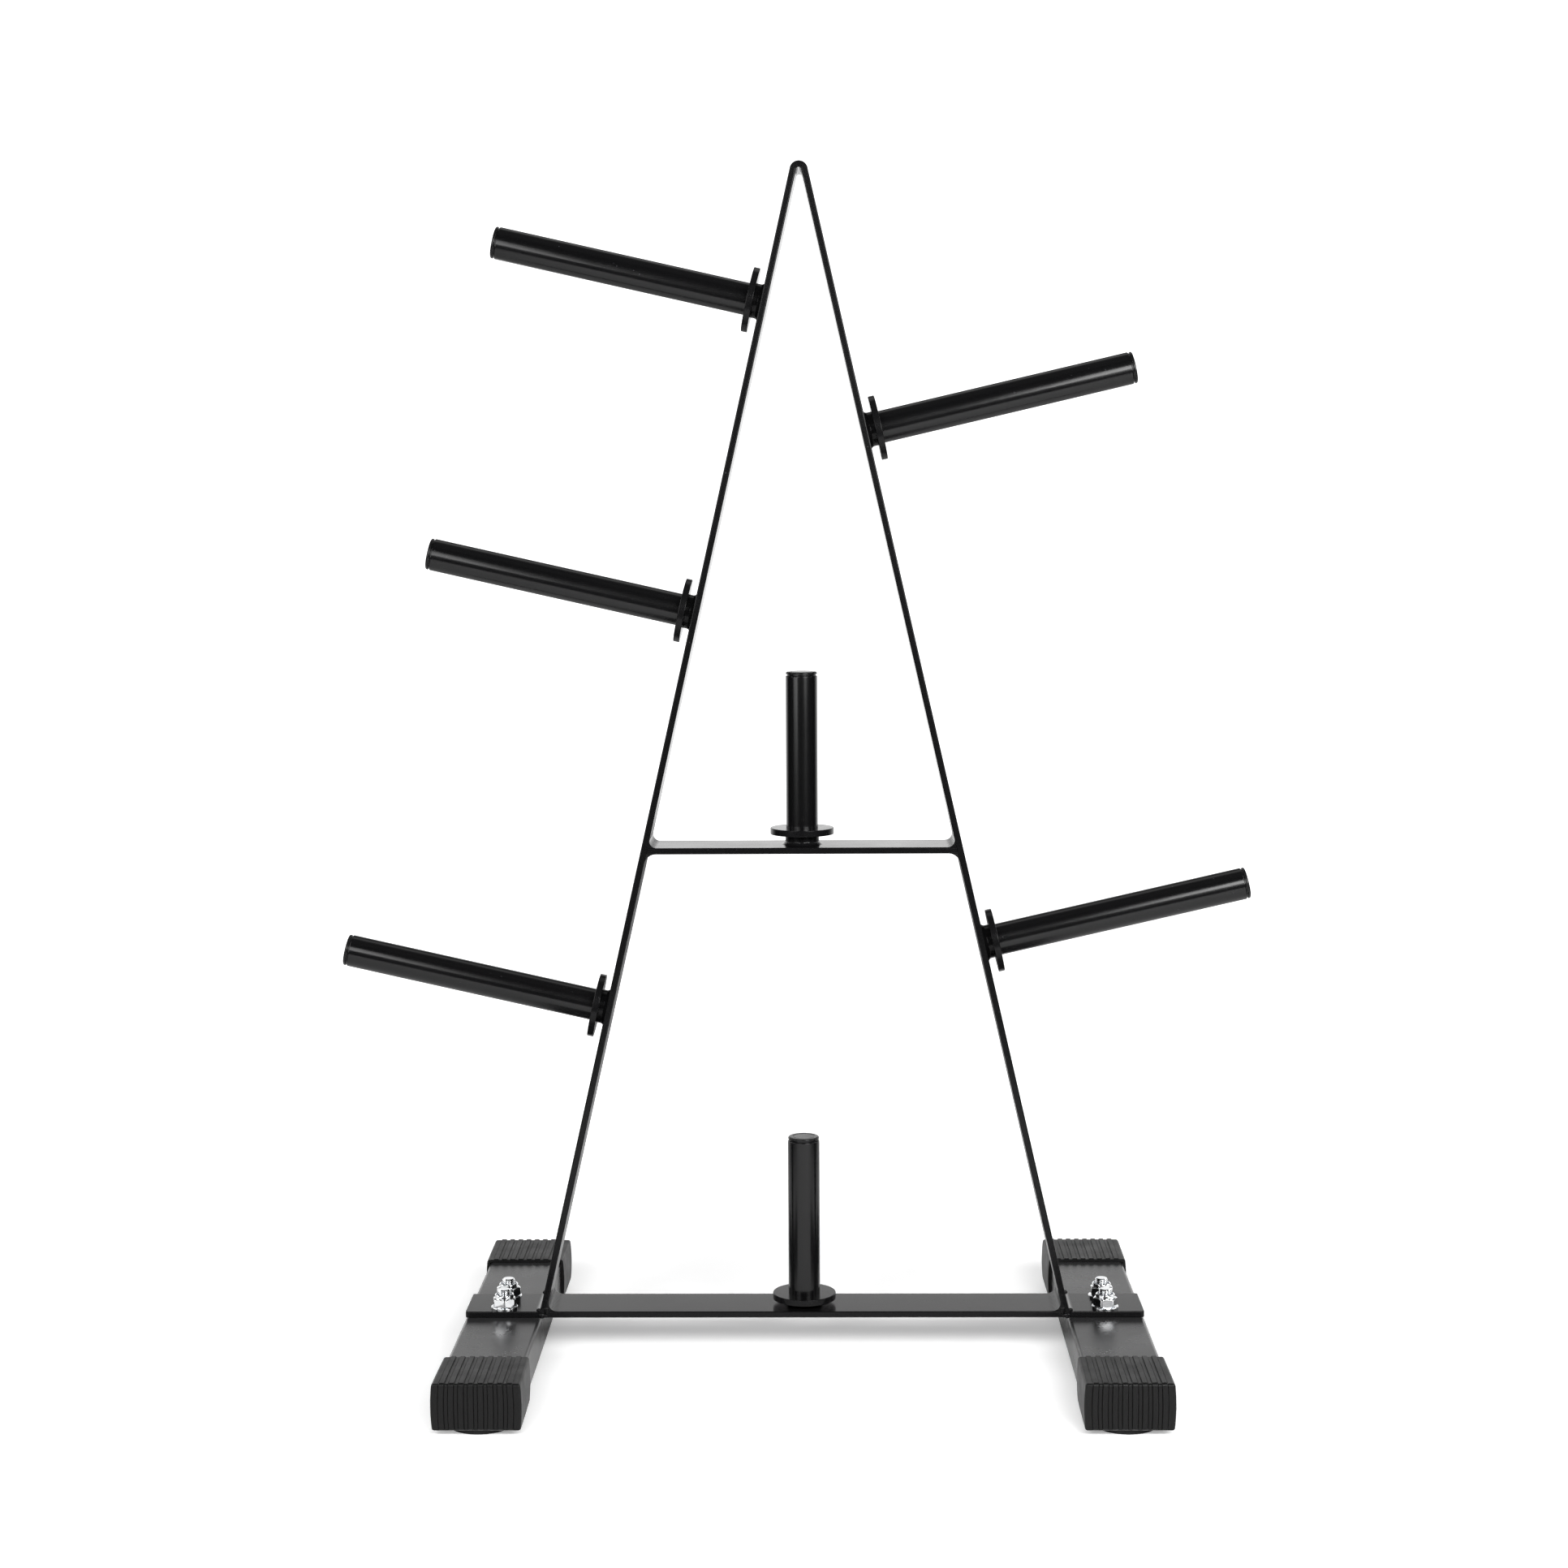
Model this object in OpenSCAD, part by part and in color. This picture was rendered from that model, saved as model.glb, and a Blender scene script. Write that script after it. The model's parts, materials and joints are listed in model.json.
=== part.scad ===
// A-frame rack for weight plates, welded from flat bar, with seven plate pegs
// and two rectangular foot tubes that end in ribbed caps on round pads.
// Millimetres, +Z up, +X to the right, +Y to the back.
// The origin is on the floor, below the middle of the frame.

/* [Frame] */
// Overall height, from the floor to the top of the bend
frame_h = 935; // [700:5:1200]
// How far each leg's outer face lands past its foot tube's inner side
leg_landing = 2; // [0:0.5:6]
// Width of the flat bar, front to back
bar_w = 50; // [40:1:70]
// Thickness of the flat bar
bar_t = 5; // [4:0.5:8]
// Inner radius of the bend at the top
apex_bend_r = 2; // [1:0.5:10]
// Inner radius of the bend between each leg and its flange
foot_bend_r = 5; // [3:0.5:12]
// Height of the middle crossbar's top face above the floor
mid_bar_h = 411.6; // [250:0.1:500]
// Radius of the weld fillets where the crossbars meet the legs
bar_weld_r = 6; // [3:0.5:9]
// How far each weld stops short of the bar's edges
weld_inset = 1; // [0.5:0.5:3]
// How far the low welds run up the leg, past the bend
weld_run = 1; // [0.5:0.5:3]

/* [Plate pegs] */
// Outer diameter of the peg tubes
peg_d = 25; // [22:0.5:30]
// Wall of the peg tubes
peg_wall = 1.5; // [1.2:0.1:3]
// Length of a side peg, from the leg's face to its tip
side_peg_len = 211; // [150:1:300]
// Height of each post above its crossbar
post_len = 135.3; // [100:0.1:200]
// How much the tube's radius is turned down where the collar is seated
seat_step = 0.2; // [0.2:0.05:0.5]
// Diameter of the collars
collar_d = 50; // [40:1:60]
// Thickness of the collars
collar_t = 5; // [3:0.5:8]
// Chamfer on the collars' rims
collar_chamfer = 0.5; // [0.2:0.1:1]
// Gap between a leg and the side pegs' collars
side_gap = 6; // [4:0.1:12]
// Gap between the middle crossbar and its post's collar
mid_gap = 8.1; // [4:0.1:12]
// Gap between the low crossbar and its post's collar
low_gap = 3.8; // [3:0.1:12]
// Thickness of the peg welds next to the collars
peg_weld_t = 1; // [0.5:0.1:2]
// Radius of the peg welds' fillets at the roots
peg_weld_r = 3; // [1:0.1:4]
// Top left peg: from the top of the frame down to where it meets the leg
top_left_drop = 104; // [70:1:160]
// Middle left peg: from the top of the frame down to where it meets the leg
mid_left_drop = 342; // [240:1:400]
// Top right peg: from the top of the frame down to where it meets the leg
top_right_drop = 202; // [70:1:300]
// Low left peg: height above the floor where it meets the leg
low_left_h = 282; // [150:1:400]
// Low right peg: height above the floor where it meets the leg
low_right_h = 333; // [150:1:450]

/* [Peg end caps] */
// Thickness of an end cap's head
head_t = 2.6; // [2:0.1:5]
// Radius of the head's rounded rim
head_round = 1.2; // [0.5:0.1:1.8]
// How far the head's rim stays inside the tube's outside
head_inset = 0.2; // [0:0.1:1]
// Height of the neck that keeps the head off the tube
neck_h = 0.4; // [0.2:0.1:1]
// Length of the plug inside the tube
plug_len = 12; // [8:1:25]
// Clearance between the plug and the tube's bore
plug_fit = 0.1; // [0.05:0.05:0.3]

/* [Foot tubes] */
// Distance between the two foot tubes' centre lines
foot_gauge = 476; // [380:1:640]
// Length of each foot tube
foot_len = 384; // [260:1:600]
// Width of the foot tubes
foot_w = 60; // [50:1:80]
// Height of the foot tubes
foot_h = 30; // [25:1:50]
// Wall of the foot tubes
foot_wall = 2; // [1.5:0.1:3]
// Outer corner radius of the foot tubes
foot_corner_r = 3; // [2.5:0.5:5]
// Corner radius of the flanges' outer corners
flange_corner_r = 2.5; // [1:0.5:8]

/* [Foot caps] */
// Length of each foot cap, without its ribs
cap_len = 63.5; // [40:0.5:90]
// Side and bottom walls of the foot caps
cap_wall = 2.4; // [2:0.1:4]
// End wall of the foot caps
cap_end = 3; // [2:0.5:6]
// Clearance between a foot cap and its tube
cap_fit = 0.1; // [0.05:0.05:0.5]
// Outer corner radius of the foot caps
cap_corner_r = 2; // [1:0.5:4]
// Number of ribs on each foot cap
rib_count = 8; // [4:1:12]
// Plain shoulder beside the outermost ribs
rib_margin = 5.7; // [3:0.1:9]
// Width of each rib
rib_w = 3.9; // [2:0.1:5]
// Height of each rib
rib_h = 0.9; // [0.5:0.1:2]

/* [Pads] */
// Diameter of the round pads
pad_d = 49; // [30:1:60]
// Thickness of the pads
pad_t = 5.4; // [5.2:0.1:12]
// Diameter of each pad's stem, in the foot cap's floor
pad_stem_d = 8; // [5:0.5:12]
// Clearance around the stem
stem_fit = 0.1; // [0.05:0.05:0.5]

/* [Bolts] */
// Thread diameter of the bolts
bolt_d = 10; // [8:1:12]
// Distance between the two bolts of a flange
bolt_pitch = 30; // [24:1:36]
// Clearance between a bolt and its holes, on the diameter
hole_fit = 1; // [0.5:0.1:2]
// How far the bolts' low domed heads reach past the thread
bolt_head_rim = 3.75; // [2:0.25:6]
// Height of the bolts' heads
bolt_head_h = 5; // [3:0.5:5]
// Width across flats of the socket in each head
socket_af = 6; // [4:1:8]
// Depth of the socket in each head
socket_depth = 2.8; // [2:0.1:3]
// How far each bolt's end stands above its lock nut
bolt_stick_out = 3.7; // [2:0.1:10]
// Width of the washers' ring, around the bolt's hole
washer_rim = 5; // [4:0.5:6]
// Thickness of the washers
washer_t = 2; // [1:0.1:3]
// Wall of the lock nuts, from the thread to the flats
nut_wall = 3.5; // [2.5:0.1:5]
// Height of a lock nut's hexagon
nut_hex_h = 6.8; // [5:0.1:10]
// Height of a lock nut's round collar above its hexagon
nut_collar_h = 3.2; // [2:0.1:5]
// How far a lock nut's round collar stays inside its flats
nut_collar_inset = 1; // [0.2:0.1:1.4]
// Wall of the round collar around its nylon insert
nut_collar_wall = 1.2; // [0.6:0.1:1.5]
// Floor below each insert, and the lip above it
insert_lip = 0.8; // [0.4:0.1:1.2]
// Clearance between a thread and its nut, on the radius
thread_fit = 0.05; // [0.02:0.01:0.1]

/* [Hidden] */
$fn = 96;
ARC_STEPS = 14; // straight segments in each drawn bend
CORNER_STEPS = 5; // straight segments in each drawn corner
OVER = 1; // how far a cutter runs past what it cuts
MIN_CORNER_R = 0.2; // least radius inside a tube's corners

// Levels above the floor
foot_z = pad_t + cap_wall + cap_fit;
foot_top = foot_z + foot_h;
flange_top = foot_top + bar_t;
washer_top = flange_top + washer_t;
hex_top = washer_top + nut_hex_h;
nut_top = hex_top + nut_collar_h;

// Frame outline: the apex bend's centre, where the right leg lands,
// the legs' lean from the vertical and the foot bend's centre on the right
apex_out_r = apex_bend_r + bar_t;
apex_z = frame_h - apex_out_r;
leg_foot_x = foot_gauge / 2 - foot_w / 2 + leg_landing;
lean = atan2(leg_foot_x, apex_z - foot_top)
    - asin(apex_out_r / norm([leg_foot_x, apex_z - foot_top]));
bend_out_r = foot_bend_r + bar_t;
bend_z = flange_top + foot_bend_r;
bend_x = (apex_out_r + foot_bend_r - (bend_z - apex_z) * sin(lean)) / cos(lean);
flange_end = foot_gauge / 2 + foot_w / 2;
low_bar_end = bend_x - sqrt(pow(bend_out_r, 2) - pow(foot_bend_r, 2));

// Pegs
peg_r = peg_d / 2;
seat_r = peg_r - seat_step;
bore_r = peg_r - peg_wall;
tip_t = head_t + neck_h;
LEFT = -1;
RIGHT = 1;
// Each side peg: its name, its side and its height
SIDE_PEGS = [
    ["top_left", LEFT, frame_h - top_left_drop],
    ["mid_left", LEFT, frame_h - mid_left_drop],
    ["low_left", LEFT, low_left_h],
    ["top_right", RIGHT, frame_h - top_right_drop],
    ["low_right", RIGHT, low_right_h]
];
// Each post: its name, the level it stands on and its collar's gap
POSTS = [
    ["mid_post", mid_bar_h, mid_gap],
    ["low_post", flange_top, low_gap]
];

// Feet: each foot cap's name, its side and its end
FRONT = -1;
BACK = 1;
FEET = [
    ["left_front", LEFT, FRONT],
    ["left_rear", LEFT, BACK],
    ["right_front", RIGHT, FRONT],
    ["right_rear", RIGHT, BACK]
];
cap_out = cap_wall + cap_fit;
cap_w = foot_w + 2 * cap_out;
cap_h = foot_h + 2 * cap_out;
cap_y1 = foot_len / 2 + cap_end;
cap_y0 = cap_y1 - cap_len;
pad_y = (cap_y0 + cap_y1) / 2;
rib_pitch = (cap_w - 2 * rib_margin - rib_w) / (rib_count - 1);

// Fasteners
hole_r = (bolt_d + hole_fit) / 2;
thread_r = bolt_d / 2 + thread_fit;
washer_r = hole_r + washer_rim;
bolt_head_r = bolt_d / 2 + bolt_head_rim;
nut_flat_r = bolt_d / 2 + nut_wall;
nut_hex_r = nut_flat_r / cos(30);
nut_collar_r = nut_flat_r - nut_collar_inset;
insert_r = nut_collar_r - nut_collar_wall;
insert_z = hex_top + insert_lip;

// Finishes
GLOSS_BLACK = [0.03, 0.03, 0.03];
SATIN_BLACK = [0.10, 0.10, 0.10];
RUBBER_BLACK = [0.08, 0.08, 0.08];
ZINC = [0.80, 0.82, 0.84];
NYLON = [0.15, 0.16, 0.20];

// ---------------------------------------------------------------- geometry

// Points along an arc around c, from angle a0 to angle a1
function arc(c, r, a0, a1, steps = ARC_STEPS) =
    [for (i = [0:steps]) let (a = a0 + (a1 - a0) * i / steps)
        c + r * [cos(a), sin(a)]];

// The same points mirrored to the left side, in the opposite order
function mirrored(pts) =
    [for (i = [len(pts) - 1:-1:0]) [-pts[i][0], pts[i][1]]];

// The points in the opposite order
function reversed(pts) = [for (i = [len(pts) - 1:-1:0]) pts[i]];

// Concave fillet between two edges that leave the corner c at angles a1 < a2
function fillet(c, a1, a2, r) =
    let (half = (a2 - a1) / 2, mid = (a1 + a2) / 2)
    arc(c + r / sin(half) * [cos(mid), sin(mid)], r, a1 - 90, a2 - 270);

// Outline of a rectangle with rounded corners, centred on the origin
function rounded(w, h, r) =
    let (x = w / 2 - r, y = h / 2 - r)
    concat(
        arc([x, y], r, 0, 90, CORNER_STEPS),
        arc([-x, y], r, 90, 180, CORNER_STEPS),
        arc([-x, -y], r, 180, 270, CORNER_STEPS),
        arc([x, -y], r, 270, 360, CORNER_STEPS)
    );

// X of the right leg's faces at a height, where r is the matching apex radius
function leg_x(z, r) = (r - (z - apex_z) * sin(lean)) / cos(lean);

// Draws its flat children in the XZ plane, w deep and centred on Y = 0
module across(w) {
    rotate([90, 0, 0])
        linear_extrude(height = w, center = true)
            children();
}

// Places a peg that is drawn along +Z on a leg's outer face
module on_leg(side, z) {
    mirror([side < 0 ? 1 : 0, 0, 0])
        translate([leg_x(z, apex_out_r), 0, z])
            rotate([0, 90 - lean, 0])
                children();
}

// Places its children at all four bolts
module at_bolts() {
    for (side = [LEFT, RIGHT])
        for (end = [FRONT, BACK])
            translate([side * foot_gauge / 2, end * bolt_pitch / 2, 0])
                children();
}

// A ring with the given radii, from z0 to z1
module ring(r_out, r_in, z0, z1) {
    translate([0, 0, z0])
        difference() {
            cylinder(r = r_out, h = z1 - z0);
            translate([0, 0, -OVER])
                cylinder(r = r_in, h = z1 - z0 + 2 * OVER);
        }
}

// ------------------------------------------------------------------- frame

// Upper side of the right half: flange top, foot bend, then up to the apex
right_upper = concat(
    [[flange_end, flange_top]],
    arc([bend_x, bend_z], foot_bend_r, 270, 180 + lean)
);
// Lower side of the right half: flange underside, foot bend
right_lower = concat(
    [[flange_end, foot_top]],
    arc([bend_x, bend_z], bend_out_r, 270, 180 + lean)
);

// Side view of the bent flat bar
module frame_outline() {
    polygon(concat(
        right_upper,
        arc([0, apex_z], apex_out_r, lean, 180 - lean),
        mirrored(right_upper),
        reversed(mirrored(right_lower)),
        arc([0, apex_z], apex_bend_r, 180 - lean, lean),
        reversed(right_lower)
    ));
}

// Cutter that rounds the flange corner at the given side and end
module flange_corner(side, end) {
    r = flange_corner_r;
    mirror([side < 0 ? 1 : 0, 0, 0])
        mirror([0, end < 0 ? 1 : 0, 0])
            translate([flange_end - r, bar_w / 2 - r, foot_top - OVER])
                difference() {
                    cube([r + OVER, r + OVER, bar_t + 2 * OVER]);
                    translate([0, 0, -OVER])
                        cylinder(r = r, h = bar_t + 4 * OVER);
                }
}

module frame_bar() {
    color(GLOSS_BLACK)
        difference() {
            across(bar_w) frame_outline();
            for (side = [LEFT, RIGHT])
                for (end = [FRONT, BACK])
                    flange_corner(side, end);
            at_bolts()
                translate([0, 0, foot_top - OVER])
                    cylinder(r = hole_r, h = bar_t + 2 * OVER);
        }
}

module mid_crossbar() {
    z0 = mid_bar_h - bar_t;
    right_end = [[leg_x(z0, apex_bend_r), z0], [leg_x(mid_bar_h, apex_bend_r), mid_bar_h]];
    color(GLOSS_BLACK)
        across(bar_w)
            polygon(concat(right_end, mirrored(right_end)));
}

module low_crossbar() {
    color(GLOSS_BLACK)
        translate([-low_bar_end, -bar_w / 2, foot_top])
            cube([2 * low_bar_end, bar_w, bar_t]);
}

// Fillets above and below the middle crossbar, at both ends
module mid_bar_welds() {
    z0 = mid_bar_h - bar_t;
    above = [leg_x(mid_bar_h, apex_bend_r), mid_bar_h];
    below = [leg_x(z0, apex_bend_r), z0];
    color(GLOSS_BLACK)
        for (side = [LEFT, RIGHT])
            mirror([side < 0 ? 1 : 0, 0, 0])
                across(bar_w - 2 * weld_inset) {
                    polygon(concat([above], fillet(above, 90 + lean, 180, bar_weld_r)));
                    polygon(concat([below], fillet(below, 180, 270 + lean, bar_weld_r)));
                }
}

// Weld above the low crossbar's ends, which also fills the wedge
// between each end and the foot bend
module low_bar_welds() {
    corner = [leg_x(flange_top, apex_bend_r), flange_top];
    half = (90 - lean) / 2;
    // the fillet ends on the leg's straight face, just above the bend
    bend_run = (foot_bend_r + bend_out_r * sin(lean)) / cos(lean);
    r = max(bar_weld_r, (bend_run + weld_run) * tan(half));
    color(GLOSS_BLACK)
        for (side = [LEFT, RIGHT])
            mirror([side < 0 ? 1 : 0, 0, 0])
                across(bar_w - 2 * weld_inset)
                    polygon(concat(
                        reversed(fillet(corner, 90 + lean, 180, r)),
                        arc([bend_x, bend_z], bend_out_r, 180 + lean, 270),
                        [[low_bar_end, foot_top], [low_bar_end, flange_top]]
                    ));
}

// -------------------------------------------------------------- plate pegs

// Tube with a plain bore, turned down to a seat from its root to its collar
module peg_tube(len, gap) {
    end = len - tip_t;
    shoulder = gap + collar_t;
    color(GLOSS_BLACK)
        rotate_extrude()
            polygon([
                [bore_r, 0], [seat_r, 0], [seat_r, shoulder],
                [peg_r, shoulder], [peg_r, end], [bore_r, end]
            ]);
}

// Disc that stops the plates
module collar(gap) {
    r = collar_d / 2;
    c = collar_chamfer;
    color(GLOSS_BLACK)
        rotate_extrude()
            polygon([
                [seat_r, gap], [r - c, gap], [r, gap + c],
                [r, gap + collar_t - c], [r - c, gap + collar_t], [seat_r, gap + collar_t]
            ]);
}

// Weld ring that fills the gap behind a collar, with a fillet at its root
module peg_weld(gap) {
    r = min(peg_weld_r, gap * 0.9);
    neck_r = seat_r + peg_weld_t;
    color(GLOSS_BLACK)
        rotate_extrude()
            polygon(concat(
                [[seat_r, 0]],
                arc([neck_r + r, r], r, 270, 180),
                [[neck_r, gap], [seat_r, gap]]
            ));
}

// Push-in end cap with a rounded head, a neck and a plug
module peg_cap(len) {
    end = len - tip_t;
    head_r = peg_r - head_inset;
    neck_r = (peg_r + bore_r) / 2;
    plug_r = bore_r - plug_fit;
    color(SATIN_BLACK)
        rotate_extrude()
            polygon(concat(
                [[0, end - plug_len], [plug_r, end - plug_len], [plug_r, end]],
                [[neck_r, end], [neck_r, end + neck_h], [head_r, end + neck_h]],
                arc([head_r - head_round, len - head_round], head_round, 0, 90, CORNER_STEPS),
                [[0, len]]
            ));
}

// -------------------------------------------------------------------- feet

module foot_tube(side) {
    inner_r = max(foot_corner_r - foot_wall, MIN_CORNER_R);
    color(SATIN_BLACK)
        translate([side * foot_gauge / 2, 0, foot_z + foot_h / 2])
            difference() {
                across(foot_len)
                    difference() {
                        polygon(rounded(foot_w, foot_h, foot_corner_r));
                        polygon(rounded(foot_w - 2 * foot_wall, foot_h - 2 * foot_wall, inner_r));
                    }
                for (end = [FRONT, BACK])
                    translate([0, end * bolt_pitch / 2, -foot_h / 2 - OVER])
                        cylinder(r = hole_r, h = foot_h + 2 * OVER);
            }
}

// Ribbed cap over the tube's end, drawn on the right at the back
module foot_cap(side, end) {
    tube_mid_z = foot_z + foot_h / 2;
    first_rib_x = rib_margin - cap_w / 2;
    color(RUBBER_BLACK)
        mirror([side < 0 ? 1 : 0, 0, 0])
            mirror([0, end < 0 ? 1 : 0, 0])
                translate([foot_gauge / 2, 0, 0])
                    difference() {
                        union() {
                            translate([0, pad_y, tube_mid_z])
                                across(cap_len)
                                    polygon(rounded(cap_w, cap_h, cap_corner_r));
                            for (i = [0:rib_count - 1])
                                translate([first_rib_x + i * rib_pitch, cap_y0, pad_t])
                                    rib();
                        }
                        translate([-foot_w / 2 - cap_fit, cap_y0 - OVER, foot_z - cap_fit])
                            cube([
                                foot_w + 2 * cap_fit,
                                foot_len / 2 - cap_y0 + OVER,
                                foot_h + 2 * cap_fit
                            ]);
                        translate([0, pad_y, pad_t - OVER])
                            cylinder(d = pad_stem_d + 2 * stem_fit, h = cap_wall + 2 * OVER);
                    }
}

// One rib, along the cap's top and down its end, rooted halfway into the walls
module rib() {
    difference() {
        cube([rib_w, cap_len + rib_h, cap_h + rib_h]);
        translate([-OVER, -OVER, -OVER])
            cube([
                rib_w + 2 * OVER,
                cap_len - cap_end / 2 + OVER,
                cap_h - cap_wall / 2 + OVER
            ]);
    }
}

// Round pad with a stem through the foot cap's floor
module pad(side, end) {
    color(RUBBER_BLACK)
        translate([side * foot_gauge / 2, end * pad_y, 0]) {
            cylinder(d = pad_d, h = pad_t);
            cylinder(d = pad_stem_d, h = pad_t + cap_wall);
        }
}

// --------------------------------------------------------------- fasteners

// Bolts with low domed heads below the tubes and threaded ends above the nuts
module foot_bolts() {
    head_z = foot_z - bolt_head_h;
    head_edge_z = foot_z - bolt_head_h / 3;
    head_flat_r = bolt_head_r * 2 / 3;
    tip = nut_top + bolt_stick_out;
    tip_chamfer = bolt_d / 12;
    color(ZINC)
        at_bolts()
            difference() {
                rotate_extrude()
                    polygon([
                        [0, head_z], [head_flat_r, head_z],
                        [bolt_head_r, head_edge_z], [bolt_head_r, foot_z],
                        [bolt_d / 2, foot_z], [bolt_d / 2, tip - tip_chamfer],
                        [bolt_d / 2 - tip_chamfer, tip], [0, tip]
                    ]);
                translate([0, 0, head_z - OVER])
                    cylinder(d = socket_af / cos(30), h = socket_depth + OVER, $fn = 6);
            }
}

module bolt_washers() {
    color(ZINC)
        at_bolts()
            ring(washer_r, hole_r, flange_top, washer_top);
}

// Hexagon with chamfered corners and a round collar that holds the insert
module lock_nuts() {
    corner_cut = (nut_hex_r - nut_flat_r) / 2;
    color(ZINC)
        at_bolts()
            difference() {
                union() {
                    intersection() {
                        translate([0, 0, washer_top])
                            cylinder(r = nut_hex_r, h = nut_hex_h, $fn = 6);
                        translate([0, 0, washer_top])
                            rotate_extrude()
                                polygon([
                                    [0, 0], [nut_flat_r, 0], [nut_hex_r, corner_cut],
                                    [nut_hex_r, nut_hex_h - corner_cut],
                                    [nut_flat_r, nut_hex_h], [0, nut_hex_h]
                                ]);
                    }
                    translate([0, 0, hex_top - OVER])
                        cylinder(r = nut_collar_r, h = nut_collar_h + OVER);
                }
                translate([0, 0, washer_top - OVER])
                    cylinder(r = thread_r, h = nut_hex_h + nut_collar_h + 2 * OVER);
                translate([0, 0, insert_z])
                    cylinder(r = insert_r, h = nut_collar_h);
            }
}

// Nylon ring inside each nut's collar
module nut_inserts() {
    color(NYLON)
        at_bolts()
            ring(insert_r, thread_r, insert_z, nut_top - insert_lip);
}

// ------------------------------------------------------------------- nodes

frame_bar();
mid_crossbar();
low_crossbar();
mid_bar_welds();
low_bar_welds();
for (p = SIDE_PEGS) {
    on_leg(p[1], p[2]) peg_tube(side_peg_len, side_gap);
    on_leg(p[1], p[2]) collar(side_gap);
    on_leg(p[1], p[2]) peg_weld(side_gap);
    on_leg(p[1], p[2]) peg_cap(side_peg_len);
}
for (p = POSTS) {
    translate([0, 0, p[1]]) peg_tube(post_len, p[2]);
    translate([0, 0, p[1]]) collar(p[2]);
    translate([0, 0, p[1]]) peg_weld(p[2]);
    translate([0, 0, p[1]]) peg_cap(post_len);
}
foot_tube(LEFT);  // left_foot_tube
foot_tube(RIGHT);  // right_foot_tube
for (f = FEET) {
    foot_cap(f[1], f[2]);
    pad(f[1], f[2]);
}
foot_bolts();
bolt_washers();
lock_nuts();
nut_inserts();
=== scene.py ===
"""Looks of an A-frame rack for weight plates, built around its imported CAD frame.

Every piece is a surface worked out with numpy, in metres, in the frame's own
axes: +X to the right, +Y to the back, +Z up. Flat bars are rounded outlines
carried along a path, round parts are profiles turned about an axis, and the
ribbed foot caps are grids whose ribs are a height added along the normal.
"""

import json
import logging
import math
from dataclasses import dataclass
from enum import Enum

import bmesh
import bpy
import numpy as np
from mathutils import Euler, Matrix, Vector


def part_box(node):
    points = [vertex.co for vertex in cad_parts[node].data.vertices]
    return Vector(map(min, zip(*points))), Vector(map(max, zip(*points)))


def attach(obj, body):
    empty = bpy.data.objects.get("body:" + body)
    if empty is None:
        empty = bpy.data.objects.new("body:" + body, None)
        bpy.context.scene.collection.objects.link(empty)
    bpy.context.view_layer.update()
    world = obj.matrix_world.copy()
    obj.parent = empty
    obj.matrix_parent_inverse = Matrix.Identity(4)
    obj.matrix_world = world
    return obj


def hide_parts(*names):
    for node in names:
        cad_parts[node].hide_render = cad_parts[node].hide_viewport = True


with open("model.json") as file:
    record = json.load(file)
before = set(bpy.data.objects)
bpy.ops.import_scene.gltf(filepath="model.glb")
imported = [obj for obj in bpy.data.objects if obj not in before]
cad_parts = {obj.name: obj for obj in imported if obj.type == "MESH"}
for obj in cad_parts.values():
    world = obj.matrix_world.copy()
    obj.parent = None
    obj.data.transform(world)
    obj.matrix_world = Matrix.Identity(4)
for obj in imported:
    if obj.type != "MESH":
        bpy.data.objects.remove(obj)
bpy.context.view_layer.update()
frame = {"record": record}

LOG = logging.getLogger("plate_rack")
MM = 0.001
BODY = "root"
MERGE_DISTANCE = 0.002 * MM
SHARP_ANGLE = math.radians(38)


# ------------------------------------------------------------------ outlines


def arc(centre: tuple[float, float], radius: float, start: float, end: float, steps: int) -> np.ndarray:
    """Points on a circle: centre + radius * (cos a, sin a), with a in degrees from start to end.

    Args:
        centre: The circle's centre in the plane.
        radius: Its radius.
        start: First angle in degrees.
        end: Last angle in degrees.
        steps: Number of segments.

    Returns:
        An array of steps + 1 points.
    """
    a = np.radians(np.linspace(start, end, steps + 1))
    return np.array(centre) + radius * np.stack([np.cos(a), np.sin(a)], 1)


def rounded_outline(corners: list, radii: list, steps: int = 4, closed: bool = True) -> np.ndarray:
    """Rounds the corners of an outline.

    At a corner with the half angle h between its two edges, the arc touches
    both edges at radius / tan(h) from the corner, and its centre lies on the
    bisector at radius / sin(h).

    Args:
        corners: Corner points in order.
        radii: One radius for each corner, 0 for a sharp one.
        steps: Segments in each arc.
        closed: Whether the last corner joins the first.

    Returns:
        The outline's points.
    """
    points = [np.array(c, float) for c in corners]
    out = []
    for k, (p, radius) in enumerate(zip(points, radii)):
        is_end = not closed and k in (0, len(points) - 1)
        if radius <= 0 or is_end:
            out.append(p[None])
            continue
        to_last = points[k - 1] - p
        to_next = points[(k + 1) % len(points)] - p
        to_last /= np.linalg.norm(to_last)
        to_next /= np.linalg.norm(to_next)
        half = math.acos(float(np.clip(to_last @ to_next, -1, 1))) / 2
        bisector = to_last + to_next
        centre = p + bisector / np.linalg.norm(bisector) * radius / math.sin(half)
        first = p + to_last * radius / math.tan(half) - centre
        last = p + to_next * radius / math.tan(half) - centre
        turn = math.atan2(first[0] * last[1] - first[1] * last[0], float(first @ last))
        a = math.atan2(first[1], first[0]) + np.linspace(0, turn, steps + 1)
        out.append(centre + radius * np.stack([np.cos(a), np.sin(a)], 1))
    return np.concatenate(out)


def bar_outline(width: float, thickness: float, edge_r: float) -> np.ndarray:
    """Rounded rectangle centred on the origin, thickness along the first axis, width along the second."""
    a, b = thickness / 2, width / 2
    return rounded_outline([(a, -b), (a, b), (-a, b), (-a, -b)], [edge_r] * 4, 5)


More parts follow.
